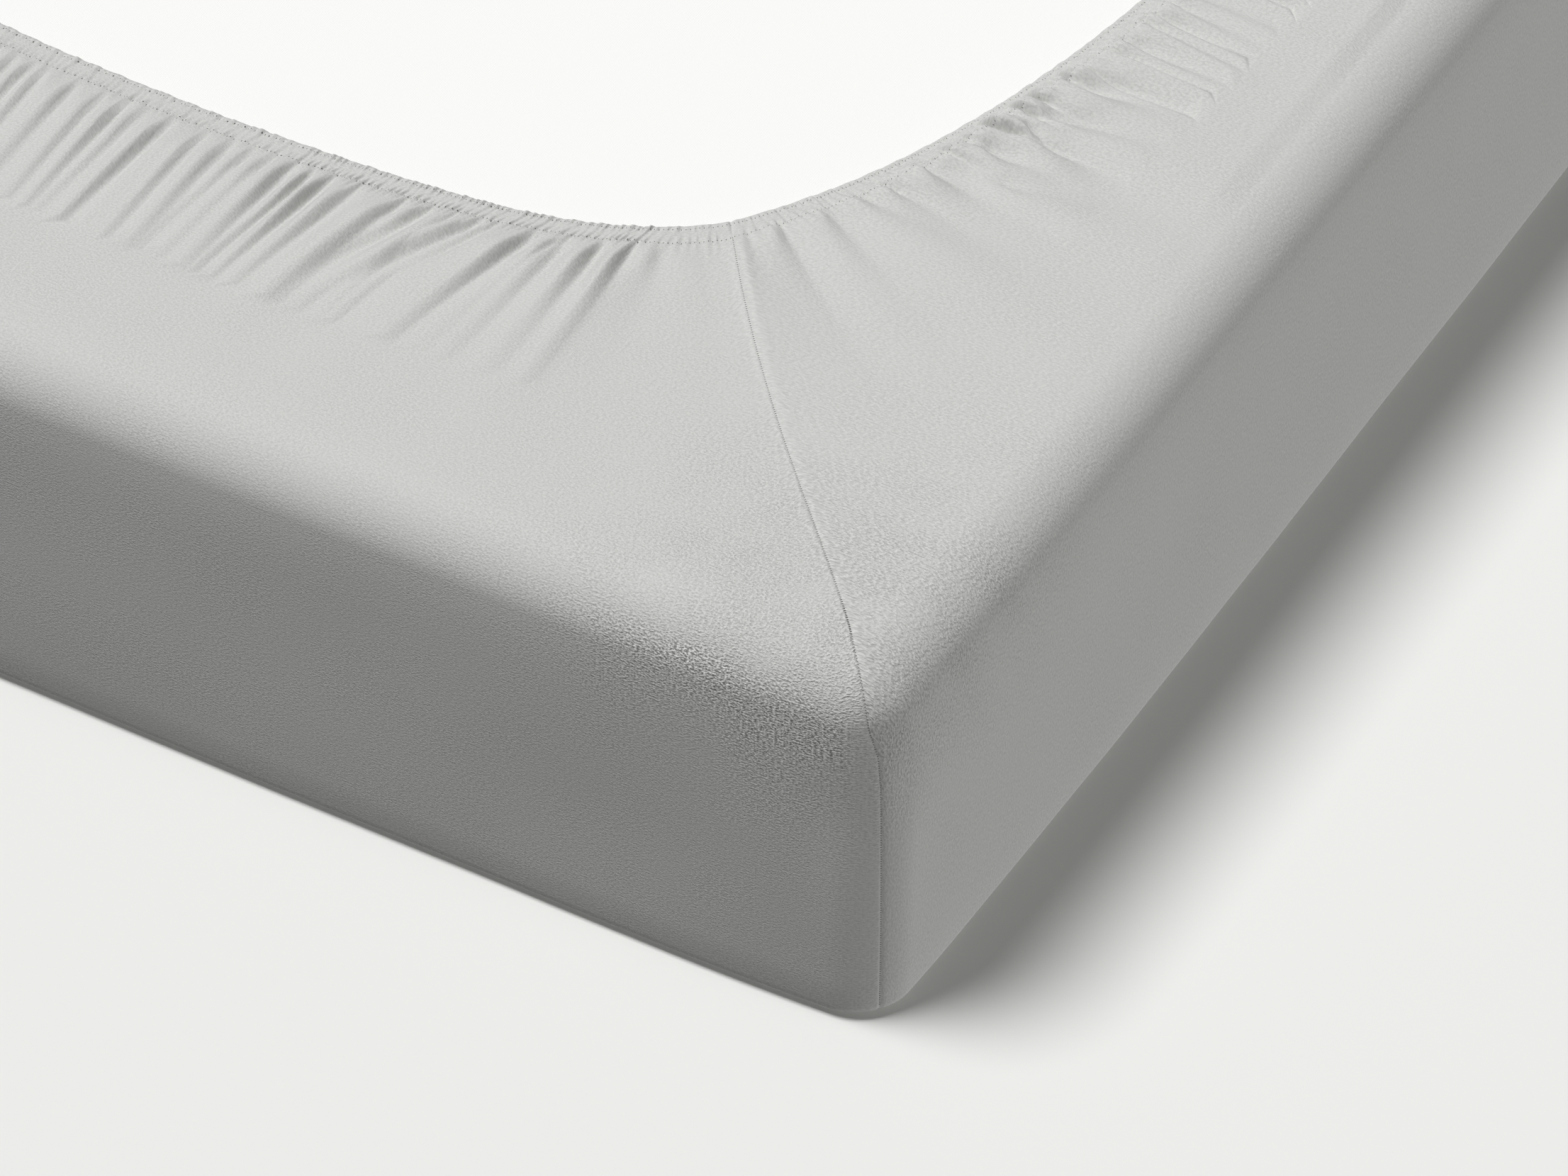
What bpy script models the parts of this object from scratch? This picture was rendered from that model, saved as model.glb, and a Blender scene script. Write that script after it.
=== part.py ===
"""Fitted sheet pulled over a single mattress that lies underside up, so that its gathered hem faces the ceiling.

Metres, +Z up, +Y along the mattress, the floor at Z = 0 under the middle of the mattress. The sheet is one cloth: the
sleeping face lies on the floor, its four sides stand up round the mattress, and the elastic draws their edge in over the
mattress in a lap full of small folds.

A place near a corner is given by two distances: from_side, in from the long side, and from_end, in from the short end.
A place along the outline is a reach: the distance from the corner, minus along the short end and plus along the side.
"""

import bisect
import math
import random
from typing import NamedTuple

import bmesh
import bpy

# The mattress with the sheet on it.
WIDTH = 0.900
LENGTH = 2.000
HEIGHT = 0.200
SHEET_THICKNESS = 0.002
SHEET_GAP = 0.0003

# Outline and edges, on the outside of the sheet.
CORNER_RADIUS = 0.025
CORNER_RADIUS_ON_LAP = 0.012
UPPER_EDGE_RADIUS = 0.027
LOWER_EDGE_RADIUS = 0.008
# The corner seams pull the cloth in by this much, less and less along the short end and along the long side.
CORNER_PULL = 0.006
CORNER_PULL_ALONG_END = 0.045
CORNER_PULL_ALONG_SIDE = 0.090

# The mattress is rounder than the sheet, which so clears its edges by about 2 mm.
MATTRESS_CORNER_RADIUS = 0.027
MATTRESS_CORNER_RADIUS_ON_TOP = 0.014
MATTRESS_UPPER_RADIUS = 0.029
MATTRESS_LOWER_RADIUS = 0.010

# The hem lies on an oval. At the corner seam it is this far in, and it flattens out towards the middle of each edge.
HEM_AT_SEAM_FROM_SIDE = 0.215
HEM_AT_SEAM_FROM_END = 0.239
LAP_AT_MIDDLE_OF_END = 0.189
LAP_AT_MIDDLE_OF_SIDE = 0.115
HEM_BEND_ALONG_END = 0.052
HEM_BEND_ALONG_SIDE = 0.134
HEM_BAND_WIDTH = 0.014
# The cloth's edge stands at this share of the folds' height, because the elastic presses it down.
HEM_EDGE_LEVEL = 0.7

# Mesh steps.
ARC_STEPS = 6
UPPER_EDGE_STEPS = 4
LOWER_EDGE_STEPS = 2
HEM_PATH_STEPS = 200
SMOOTH_CLOTH_STEP = 0.012
# Rings of the lap, as shares of the way from the hem's stitches to the outline.
LAP_SHARES = (0.66, 0.30, 0.0)

# Folds away from the corner that shows: drawn from this seed, between these limits.
FOLD_SEED = 7
FOLD_PITCH = (0.014, 0.025)
FOLD_RISE = (0.0016, 0.0048)
FOLD_REACH = (0.30, 0.85)
SMOOTH_BESIDE_SEAM = 0.030

QUARTER = (WIDTH + LENGTH) / 2
QUADRANTS = ((1, -1), (1, 1), (-1, 1), (-1, -1))
SHOWN_CORNER = 0


class Stop(NamedTuple):
    """Where cloth that leaves the outline at one reach arrives at the hem."""

    at_hem: float
    at_outline: float


class Crease(NamedTuple):
    """A crease in the lap, and the ridge of cloth that stands between it and the next one."""

    along_hem: float
    ridge_rise: float
    ridge_reach: float


# Along the short end the cloth beside the seam fans out smooth, then runs straight up the lap.
FAN_ALONG_END = (
    Stop(at_hem=0.215, at_outline=0.000),
    Stop(at_hem=0.239, at_outline=0.225),
    Stop(at_hem=0.281, at_outline=0.306),
    Stop(at_hem=0.450, at_outline=0.450),
)
FAN_ALONG_SIDE = (
    Stop(at_hem=0.239, at_outline=0.000),
    Stop(at_hem=0.251, at_outline=0.116),
    Stop(at_hem=0.310, at_outline=0.274),
    Stop(at_hem=0.351, at_outline=0.344),
    Stop(at_hem=1.000, at_outline=1.000),
)

# The corner that shows. Distances along the hem are from the seam, minus towards the short end.
# A reach is the share of the lap's width that the ridge runs over.
SHOWN_CREASES = (
    Crease(along_hem=-0.142, ridge_rise=0.0038, ridge_reach=0.60),
    Crease(along_hem=-0.130, ridge_rise=0.0032, ridge_reach=0.50),
    Crease(along_hem=-0.119, ridge_rise=0.0044, ridge_reach=0.65),
    Crease(along_hem=-0.107, ridge_rise=0.0032, ridge_reach=0.70),
    Crease(along_hem=-0.096, ridge_rise=0.0038, ridge_reach=0.85),
    Crease(along_hem=-0.083, ridge_rise=0.0044, ridge_reach=0.80),
    Crease(along_hem=-0.069, ridge_rise=0.0038, ridge_reach=0.70),
    Crease(along_hem=-0.054, ridge_rise=0.0044, ridge_reach=0.75),
    Crease(along_hem=-0.041, ridge_rise=0.0018, ridge_reach=0.50),
    Crease(along_hem=-0.030, ridge_rise=0.0000, ridge_reach=0.00),
    Crease(along_hem=0.004, ridge_rise=0.0024, ridge_reach=0.60),
    Crease(along_hem=0.016, ridge_rise=0.0018, ridge_reach=0.45),
    Crease(along_hem=0.032, ridge_rise=0.0014, ridge_reach=0.30),
    Crease(along_hem=0.047, ridge_rise=0.0018, ridge_reach=0.35),
    Crease(along_hem=0.063, ridge_rise=0.0020, ridge_reach=0.40),
    Crease(along_hem=0.077, ridge_rise=0.0028, ridge_reach=0.45),
    Crease(along_hem=0.090, ridge_rise=0.0026, ridge_reach=0.70),
    Crease(along_hem=0.101, ridge_rise=0.0024, ridge_reach=0.40),
    Crease(along_hem=0.110, ridge_rise=0.0032, ridge_reach=0.50),
    Crease(along_hem=0.121, ridge_rise=0.0038, ridge_reach=0.60),
    Crease(along_hem=0.132, ridge_rise=0.0044, ridge_reach=0.90),
    Crease(along_hem=0.148, ridge_rise=0.0028, ridge_reach=0.55),
    Crease(along_hem=0.158, ridge_rise=0.0032, ridge_reach=0.50),
    Crease(along_hem=0.168, ridge_rise=0.0034, ridge_reach=0.75),
    Crease(along_hem=0.179, ridge_rise=0.0028, ridge_reach=0.55),
)


def between(stops, value):
    """Straight-line reading of pairs (key, result) that rise in key."""
    keys = [key for key, _ in stops]
    after = min(max(bisect.bisect_right(keys, value), 1), len(stops) - 1)
    (key_0, result_0), (key_1, result_1) = stops[after - 1], stops[after]
    return result_0 + (result_1 - result_0) * (value - key_0) / (key_1 - key_0)


def outline_point(reach, inset, radius):
    """(from_side, from_end) on the outline moved in by inset, with a corner of this radius."""
    corner = inset + radius
    if abs(reach) < corner:
        turn = (reach / corner + 1) * math.pi / 4
        from_side = inset + radius * (1 - math.sin(turn))
        from_end = inset + radius * (1 - math.cos(turn))
    else:
        from_side = -reach if reach < 0 else inset
        from_end = inset if reach < 0 else reach
    from_corner = 2 * inset - from_side - from_end
    pull_on_end = CORNER_PULL * math.exp(from_corner / CORNER_PULL_ALONG_END)
    pull_on_side = CORNER_PULL * math.exp(from_corner / CORNER_PULL_ALONG_SIDE)
    return from_side + pull_on_side, from_end + pull_on_end


def hem_end_curve(from_side):
    """How far the hem is in from the short end, where it is this far in from the long side."""
    bend = math.exp((HEM_AT_SEAM_FROM_SIDE - from_side) / HEM_BEND_ALONG_END)
    return LAP_AT_MIDDLE_OF_END + (HEM_AT_SEAM_FROM_END - LAP_AT_MIDDLE_OF_END) * bend


def hem_side_curve(from_end):
    bend = math.exp((HEM_AT_SEAM_FROM_END - from_end) / HEM_BEND_ALONG_SIDE)
    return LAP_AT_MIDDLE_OF_SIDE + (HEM_AT_SEAM_FROM_SIDE - LAP_AT_MIDDLE_OF_SIDE) * bend


class HemPath:
    """The hem over one quarter, from the middle of the short end to the middle of the long side."""

    def __init__(self):
        steps = [step / HEM_PATH_STEPS for step in range(HEM_PATH_STEPS + 1)]
        on_end = [WIDTH / 2 + (HEM_AT_SEAM_FROM_SIDE - WIDTH / 2) * step for step in steps]
        on_side = [HEM_AT_SEAM_FROM_END + (LENGTH / 2 - HEM_AT_SEAM_FROM_END) * step for step in steps]
        self.points = [(from_side, hem_end_curve(from_side)) for from_side in on_end]
        self.points += [(hem_side_curve(from_end), from_end) for from_end in on_side[1:]]
        self.lengths = [0.0]
        for before, after in zip(self.points, self.points[1:]):
            self.lengths.append(self.lengths[-1] + math.dist(before, after))
        self.total = self.lengths[-1]
        self.to_seam = self.lengths[HEM_PATH_STEPS]

    def point(self, length):
        """(from_side, from_end) at this length along the path."""
        return tuple(
            between(list(zip(self.lengths, values)), length) for values in zip(*self.points)
        )

    def reach(self, length):
        """Where on the outline the cloth comes from that arrives at this length."""
        from_side, from_end = self.point(length)
        if length < self.to_seam:
            return -between(FAN_ALONG_END, from_side)
        return between(FAN_ALONG_SIDE, from_end)


def world(quadrant, from_side, from_end):
    x_sign, y_sign = QUADRANTS[quadrant]
    return x_sign * (WIDTH / 2 - from_side), y_sign * (LENGTH / 2 - from_end)


def outline_place(quadrant, reach):
    """Distance round the whole outline, anticlockwise from the middle of the end at -Y."""
    along = reach + WIDTH / 2 if quadrant % 2 == 0 else LENGTH / 2 - reach
    return quadrant * QUARTER + along


class Column(NamedTuple):
    """A line of cloth up the lap: its quadrant, its length along that quadrant's hem, and its height there."""

    quadrant: int
    length: float
    rise: float
    fold_reach: float


def drawn_creases(path, draw):
    """Creases for a corner that doesn't show, uneven but with no plan."""
    creases = []
    along = -path.to_seam + FOLD_PITCH[0] / 2
    while along < path.total - path.to_seam - FOLD_PITCH[0] / 2:
        smooth = -SMOOTH_BESIDE_SEAM < along < 0
        rise = 0.0 if smooth else draw.uniform(*FOLD_RISE)
        creases.append(Crease(along, rise, draw.uniform(*FOLD_REACH)))
        along += draw.uniform(*FOLD_PITCH)
    return creases


def quadrant_creases(path, quadrant, draw):
    """The creases of one quarter. Those that the photograph shows take the place of drawn ones."""
    creases = drawn_creases(path, draw)
    if quadrant != SHOWN_CORNER:
        return creases
    first, last = SHOWN_CREASES[0].along_hem, SHOWN_CREASES[-1].along_hem
    margin = FOLD_PITCH[0] / 2
    before = [crease for crease in creases if crease.along_hem < first - margin]
    after = [crease for crease in creases if crease.along_hem > last + margin]
    return [*before, *SHOWN_CREASES, *after]


def lap_columns(path):
    """Columns all round the hem: one in each crease, one on each ridge, and a few where the cloth is smooth."""
    draw = random.Random(FOLD_SEED)
    columns = []
    for quadrant in range(len(QUADRANTS)):
        creases = quadrant_creases(path, quadrant, draw)
        quarter = []
        for crease, following in zip(creases, [*creases[1:], None]):
            start = crease.along_hem + path.to_seam
            stop = following.along_hem + path.to_seam if following else path.total
            quarter.append(Column(quadrant, start, 0.0, 0.0))
            if crease.ridge_rise:
                ridge = (start + stop) / 2
                quarter.append(Column(quadrant, ridge, crease.ridge_rise, crease.ridge_reach))
                continue
            steps = round((stop - start) / SMOOTH_CLOTH_STEP)
            for step in range(1, steps):
                length = start + (stop - start) * step / steps
                quarter.append(Column(quadrant, length, 0.0, 0.0))
        columns += quarter if quadrant % 2 == 0 else reversed(quarter)
    return columns


def lap_ring(mesh, path, columns, from_hem, share, level):
    """A ring of the lap, at a share of the way to the outline from the line that is from_hem out from the hem.

    Its folds have this level of their full rise, less towards the end of their reach.
    """
    ring = []
    for column in columns:
        hem = path.point(column.length)
        reach = path.reach(column.length)
        outer = outline_point(reach, UPPER_EDGE_RADIUS, CORNER_RADIUS_ON_LAP)
        first = from_hem / math.dist(hem, outer)
        way = first + (1 - first) * share
        place = [near + (far - near) * way for near, far in zip(hem, outer)]
        fading = max(0.0, 1 - share / column.fold_reach) if column.fold_reach else 0.0
        height = HEIGHT + column.rise * level * fading
        ring.append(mesh.verts.new((*world(column.quadrant, *place), height)))
    return ring


def wall_reaches():
    """Reaches of the wall's columns over one quarter, close together where the corner bends."""
    arc = [CORNER_RADIUS * (2 * step / ARC_STEPS - 1) for step in range(ARC_STEPS + 1)]
    spread = (0.045, 0.080, 0.140, 0.230, 0.340)
    end = [-WIDTH / 2, *(-distance for distance in reversed(spread))]
    side = [*spread, 0.480, 0.640, 0.820]
    return [*end, *arc, *side, LENGTH / 2]


def wall_columns():
    """(quadrant, reach) of each column all round, anticlockwise from the middle of the end at -Y."""
    reaches = wall_reaches()
    columns = []
    for quadrant in range(len(QUADRANTS)):
        order = reaches[:-1] if quadrant % 2 == 0 else reaches[:0:-1]
        columns += [(quadrant, reach) for reach in order]
    return columns


def wall_ring(mesh, columns, inset, height, radius):
    ring = []
    for quadrant, reach in columns:
        place = outline_point(reach, inset, radius)
        ring.append(mesh.verts.new((*world(quadrant, *place), height)))
    return ring


def band(mesh, lower, upper):
    """Quads between two rings with the same number of points, lower or outer ring first."""
    for index in range(len(lower)):
        after = (index + 1) % len(lower)
        mesh.faces.new((lower[index], lower[after], upper[after], upper[index]))


def zip_band(mesh, outer, outer_places, inner, inner_places):
    """Triangles between two rings with different numbers of points, each step taken on the ring that lags."""
    round_trip = len(QUADRANTS) * QUARTER
    outer_places = [*outer_places, outer_places[0] + round_trip]
    inner_places = [*inner_places, inner_places[0] + round_trip]
    i = j = 0
    while i < len(outer) or j < len(inner):
        here = (outer[i % len(outer)], inner[j % len(inner)])
        if j == len(inner) or (i < len(outer) and outer_places[i + 1] <= inner_places[j + 1]):
            i += 1
            mesh.faces.new((here[0], outer[i % len(outer)], here[1]))
        else:
            j += 1
            mesh.faces.new((here[0], inner[j % len(inner)], here[1]))


class Shell(NamedTuple):
    """The sizes of a rounded box, such as the outside of the sheet or the mattress in it."""

    inset: float
    bottom: float
    top: float
    lower_radius: float
    upper_radius: float
    corner_radius: float
    top_corner_radius: float


def shell_rings(mesh, columns, shell):
    """The rings of a rounded box from its underside, up its wall, to the start of its upper face."""
    rings = []
    for step in range(LOWER_EDGE_STEPS + 1):
        turn = math.pi / 2 * step / LOWER_EDGE_STEPS
        inset = shell.inset + shell.lower_radius * (1 - math.sin(turn))
        height = shell.bottom + shell.lower_radius * (1 - math.cos(turn))
        rings.append(wall_ring(mesh, columns, inset, height, shell.corner_radius))
    for step in range(UPPER_EDGE_STEPS + 1):
        turn = math.pi / 2 * step / UPPER_EDGE_STEPS
        done = 1 - math.cos(turn)
        inset = shell.inset + shell.upper_radius * done
        height = shell.top - shell.upper_radius * (1 - math.sin(turn))
        radius = shell.corner_radius + (shell.top_corner_radius - shell.corner_radius) * done
        rings.append(wall_ring(mesh, columns, inset, height, radius))
    for lower, upper in zip(rings, rings[1:]):
        band(mesh, lower, upper)
    mesh.faces.new(reversed(rings[0]))
    return rings


def add_object(name, mesh, material):
    data = bpy.data.meshes.new(name)
    mesh.normal_update()
    mesh.to_mesh(data)
    mesh.free()
    data.materials.append(material)
    data.shade_smooth()
    made = bpy.data.objects.new(name, data)
    bpy.context.scene.collection.objects.link(made)
    return made


def cloth_material(name, colour, roughness):
    material = bpy.data.materials.new(name)
    material.use_nodes = True
    shader = material.node_tree.nodes["Principled BSDF"]
    shader.inputs["Base Color"].default_value = (*colour, 1)
    shader.inputs["Roughness"].default_value = roughness
    shader.inputs["Metallic"].default_value = 0.0
    return material


def make_fitted_sheet():
    """The sheet's outer face from the floor to the hem, given its thickness inwards."""
    shell = Shell(
        inset=0.0,
        bottom=0.0,
        top=HEIGHT,
        lower_radius=LOWER_EDGE_RADIUS,
        upper_radius=UPPER_EDGE_RADIUS,
        corner_radius=CORNER_RADIUS,
        top_corner_radius=CORNER_RADIUS_ON_LAP,
    )
    mesh = bmesh.new()
    walls = wall_columns()
    lap_start = shell_rings(mesh, walls, shell)[-1]

    path = HemPath()
    columns = lap_columns(path)
    laps = [lap_ring(mesh, path, columns, HEM_BAND_WIDTH, share, 1.0) for share in LAP_SHARES]
    laps.append(lap_ring(mesh, path, columns, 0.0, 0.0, HEM_EDGE_LEVEL))
    zip_band(
        mesh,
        lap_start,
        [outline_place(quadrant, reach) for quadrant, reach in walls],
        laps[0],
        [outline_place(column.quadrant, path.reach(column.length)) for column in columns],
    )
    for outer, inner in zip(laps, laps[1:]):
        band(mesh, outer, inner)

    sheet = add_object("fitted_sheet", mesh, cloth_material("grey jersey", (0.60, 0.60, 0.585), 0.9))
    thickness = sheet.modifiers.new("Cloth thickness", "SOLIDIFY")
    thickness.thickness = SHEET_THICKNESS
    thickness.offset = -1
    thickness.use_rim = True
    return sheet


def make_mattress():
    """A plain block with rounded edges that fills the sheet, a small gap in from it all round."""
    clear = SHEET_THICKNESS + SHEET_GAP
    shell = Shell(
        inset=clear,
        bottom=clear,
        top=HEIGHT - clear,
        lower_radius=MATTRESS_LOWER_RADIUS,
        upper_radius=MATTRESS_UPPER_RADIUS,
        corner_radius=MATTRESS_CORNER_RADIUS,
        top_corner_radius=MATTRESS_CORNER_RADIUS_ON_TOP,
    )
    mesh = bmesh.new()
    rings = shell_rings(mesh, wall_columns(), shell)
    mesh.faces.new(rings[-1])
    return add_object("mattress", mesh, cloth_material("white ticking", (0.86, 0.86, 0.85), 0.85))


def clear_scene():
    for found in list(bpy.data.objects):
        bpy.data.objects.remove(found)


def main():
    clear_scene()
    make_fitted_sheet()
    make_mattress()


main()
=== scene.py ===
"""Looks of a fitted sheet on a mattress that lies underside up: knitted cloth, gathered hem, sewing, studio.

Metres, in the frame of the solids. The cloth repeats the solid's outline and hem, with finer folds. A place
near a corner is given by two distances: from_side, in from the long side, and from_end, in from the end. A
place on the outline is a reach: the distance from the corner, minus along the short end and plus along the
long side. A place on the hem is its distance from the corner seam, with the same sign, or its distance round
the whole hem.
"""

import math
from functools import partial
from typing import NamedTuple

import bpy
import numpy as np
from bpy.props import FloatProperty, FloatVectorProperty, IntProperty, PointerProperty
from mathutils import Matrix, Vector

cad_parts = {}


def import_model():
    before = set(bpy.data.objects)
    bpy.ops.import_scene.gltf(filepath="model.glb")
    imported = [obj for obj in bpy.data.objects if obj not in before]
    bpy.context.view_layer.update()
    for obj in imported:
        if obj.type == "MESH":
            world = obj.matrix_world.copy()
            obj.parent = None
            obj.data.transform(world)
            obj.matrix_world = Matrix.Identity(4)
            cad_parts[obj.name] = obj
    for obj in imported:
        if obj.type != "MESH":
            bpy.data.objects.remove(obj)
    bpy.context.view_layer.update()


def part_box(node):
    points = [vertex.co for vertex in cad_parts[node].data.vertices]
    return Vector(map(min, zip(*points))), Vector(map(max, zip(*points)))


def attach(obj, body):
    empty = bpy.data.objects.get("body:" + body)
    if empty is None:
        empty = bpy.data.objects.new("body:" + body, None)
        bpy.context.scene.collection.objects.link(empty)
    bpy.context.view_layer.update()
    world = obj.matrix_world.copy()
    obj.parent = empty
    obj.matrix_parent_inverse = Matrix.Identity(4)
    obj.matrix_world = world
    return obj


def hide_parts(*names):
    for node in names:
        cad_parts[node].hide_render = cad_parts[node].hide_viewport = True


bl_info = {
    "name": "Fitted sheet",
    "version": (1, 0, 0),
    "blender": (4, 5, 0),
    "location": "3D View > Sidebar > Fitted sheet",
    "description": "Makes a knitted fitted sheet with a gathered hem on its mattress",
    "category": "Add Mesh",
}

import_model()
SHEET_LOW, SHEET_HIGH = (Vector(corner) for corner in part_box("fitted_sheet"))
MATTRESS_LOW, MATTRESS_HIGH = (Vector(corner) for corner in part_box("mattress"))

# Sizes that the frame gives. The sheet stands as far above the mattress as below it, where it has no folds.
WIDTH = SHEET_HIGH.x - SHEET_LOW.x
LENGTH = SHEET_HIGH.y - SHEET_LOW.y
HEIGHT = MATTRESS_LOW.z + MATTRESS_HIGH.z

# The solid's outline, hem and fan, repeated.
CORNER_RADIUS = 0.025
CORNER_RADIUS_ON_LAP = 0.012
UPPER_EDGE_RADIUS = 0.027
LOWER_EDGE_RADIUS = 0.008
CORNER_PULL = 0.006
CORNER_PULL_ALONG_END = 0.045
CORNER_PULL_ALONG_SIDE = 0.090
HEM_AT_SEAM_FROM_SIDE = 0.215
HEM_AT_SEAM_FROM_END = 0.239
LAP_AT_MIDDLE_OF_END = 0.189
LAP_AT_MIDDLE_OF_SIDE = 0.115
HEM_BEND_ALONG_END = 0.052
HEM_BEND_ALONG_SIDE = 0.134
HEM_PATH_STEPS = 400

QUADRANTS = np.array(((1, -1), (1, 1), (-1, 1), (-1, -1)))
QUARTER = (WIDTH + LENGTH) / 2
SHOWN_CORNER = 0
LEFT_OF_SHOWN = 3

# The corner seam bows this far towards the short end on its way from the corner to the hem.
SEAM_BOW = 0.0064
SEAM_BOW_SKEW = 0.8
SEAM_BOW_SPREAD = 0.060
# It also starts off to that side at the outline, and comes back over this distance.
SEAM_START_ASIDE = 0.0026
SEAM_COMES_BACK_OVER = 0.034
# The cloths dip into the seam, steeply from the short end's side and gently from the long side's.
SEAM_GROOVE_DEPTH = 0.0006
SEAM_STEEP_WIDTH = 0.0006
SEAM_GENTLE_WIDTH = 0.0013
# How far the seam stands round towards the long side on the wall, as (height, reach).
SEAM_LEAN = (
    (0.000, 0.0036), (0.120, 0.0022), (0.148, 0.0016), (0.158, 0.0003), (0.174, -0.0046),
    (0.190, -0.0066), (0.195, -0.0078), (0.200, -0.0100),
)
SEAM_LEAN_SPREAD = 0.030

# How far the soft wall stands out from a flat one, as (height, out).
WALL_BULGE = (
    (0.000, 0.0000), (0.008, 0.0002), (0.030, 0.0012), (0.050, 0.0018), (0.080, 0.0021), (0.130, 0.0022),
    (0.155, 0.0021), (0.165, 0.0018), (0.173, 0.0013), (0.182, 0.0008), (0.190, 0.0004), (0.200, 0.0000),
)

# Mesh columns: distances from the seam that both cloths share, then steps along the hem and along the wall.
SEAM_STRIP = np.array((0.0004, 0.0009, 0.0016, 0.0026, 0.0040))
HEM_STEP_SHOWN = 0.0008
HEM_STEP_BESIDE = 0.0017
HEM_STEP_ELSEWHERE = 0.0044
HEM_SHOWN_UNTIL = 0.200
HEM_BESIDE_UNTIL = 0.400
WALL_STEP_AT_CORNER = 0.0035
WALL_STEP_ELSEWHERE = 0.0145
WALL_CORNER_UNTIL = 0.050

# Mesh rows of the lap. The zone beside the hem has the hem's columns, and the rest has the wall's.
FOLD_ZONE = 0.125
FOLD_ZONE_SHARE = 0.62
ZIP_GAP = 0.008
LAP_START = 0.0128
FOLD_ROWS = 20
FOLD_ROWS_CROWDING = 1.9
PLAIN_ROWS = 7
LOWER_EDGE_ROWS = 4
WALL_ROWS = 9
UPPER_EDGE_ROWS = 11

# The hem's cross-section, as (distance out from its edge, rise above the mattress). Sewn rows pull it down.
FIRST_SEWN_ROW = 0.005
SECOND_SEWN_ROW = 0.015
HEM_TOP = (
    (0.0002, 0.0006), (0.0009, 0.0011), (0.0020, 0.0014), (0.0034, 0.0015), (0.0043, 0.0014),
    (0.0050, 0.0013), (0.0057, 0.0014), (0.0068, 0.0016), (0.0086, 0.0017), (0.0106, 0.0017),
    (0.0126, 0.0016), (0.0141, 0.0014), (0.0150, 0.0013), (0.0220, 0.0010), (0.0450, 0.0000),
)
# The band runs on under the cloth: a ring just below it, and then one tucked in.
BAND_MEETS_CLOTH = 0.0154
BAND_JUST_BELOW = 0.00003
BAND_ENDS = 0.0158
BAND_TUCK = 0.0009
CLOTH_TUCKED_UNTIL = 0.0146
BAND_UNDERSIDE = ((0.0000, 0.0001), (0.0008, -0.0006), (0.0050, -0.0009), (0.0130, -0.0009))

# Where the cloth meets the hem, and where on the outline it comes from, as (distance in, reach).
FAN_ALONG_END = (
    (0.2150, 0.000), (0.2179, 0.004), (0.2390, 0.225), (0.2810, 0.306), (0.4500, 0.450),
)
FAN_ALONG_SIDE = (
    (0.2390, 0.000), (0.2422, 0.004), (0.2510, 0.116), (0.3100, 0.274), (0.3510, 0.344),
    (1.0000, 1.000),
)


def table(row_type, *rows):
    """Rows of one type, which names their columns."""
    return tuple(row_type(*row) for row in rows)


class Gather(NamedTuple):
    """The gathers at one distance from the seam: how far they puff up, and how puckered and slanted they are.

    The puff starts and is full at distances out from the hem's edge.
    """

    along: float
    puff: float
    pucker: float
    slant: float
    starts: float
    full: float


GATHERS = table(
    Gather,
    (-0.260, 0.0056, 1.00, 0.10, 0.0110, 0.040),
    (-0.090, 0.0064, 1.00, 0.10, 0.0110, 0.040),
    (-0.036, 0.0058, 0.95, 0.08, 0.0115, 0.038),
    (-0.026, 0.0036, 0.70, 0.05, 0.0118, 0.036),
    (-0.012, 0.0012, 0.45, 0.00, 0.0118, 0.030),
    (-0.004, 0.0012, 0.40, 0.00, 0.0118, 0.028),
    (0.004, 0.0036, 0.60, -0.10, 0.0100, 0.026),
    (0.060, 0.0040, 0.90, -0.33, 0.0070, 0.022),
    (0.120, 0.0060, 1.00, -0.33, 0.0035, 0.018),
    (0.200, 0.0058, 1.00, -0.33, 0.0040, 0.020),
    (0.800, 0.0050, 1.00, -0.20, 0.0100, 0.030),
)
# The puff rises quickly, dies away towards the outline, and is held down by the second sewn row.
PUFF_CURVE = 0.7
PUFF_FADES_FROM = 0.022
PUFF_FADES_OVER = 0.110
SEWN_ROW_HOLDS = 0.15
SEWN_ROW_WIDTH = 0.0014


class Crease(NamedTuple):
    """A fold's steep side, which falls as one goes along the hem away from the short end's middle.

    It starts at `along`, drifts along the hem on its way out from the hem's edge, and falls by a share of the
    puff. A pinch is short and narrow, and as steep on its far side. A negative half width turns a fold round.
    """

    along: float
    drift: float
    start: float
    end: float
    depth: float
    half_width: float
    pinch: bool = False


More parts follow.
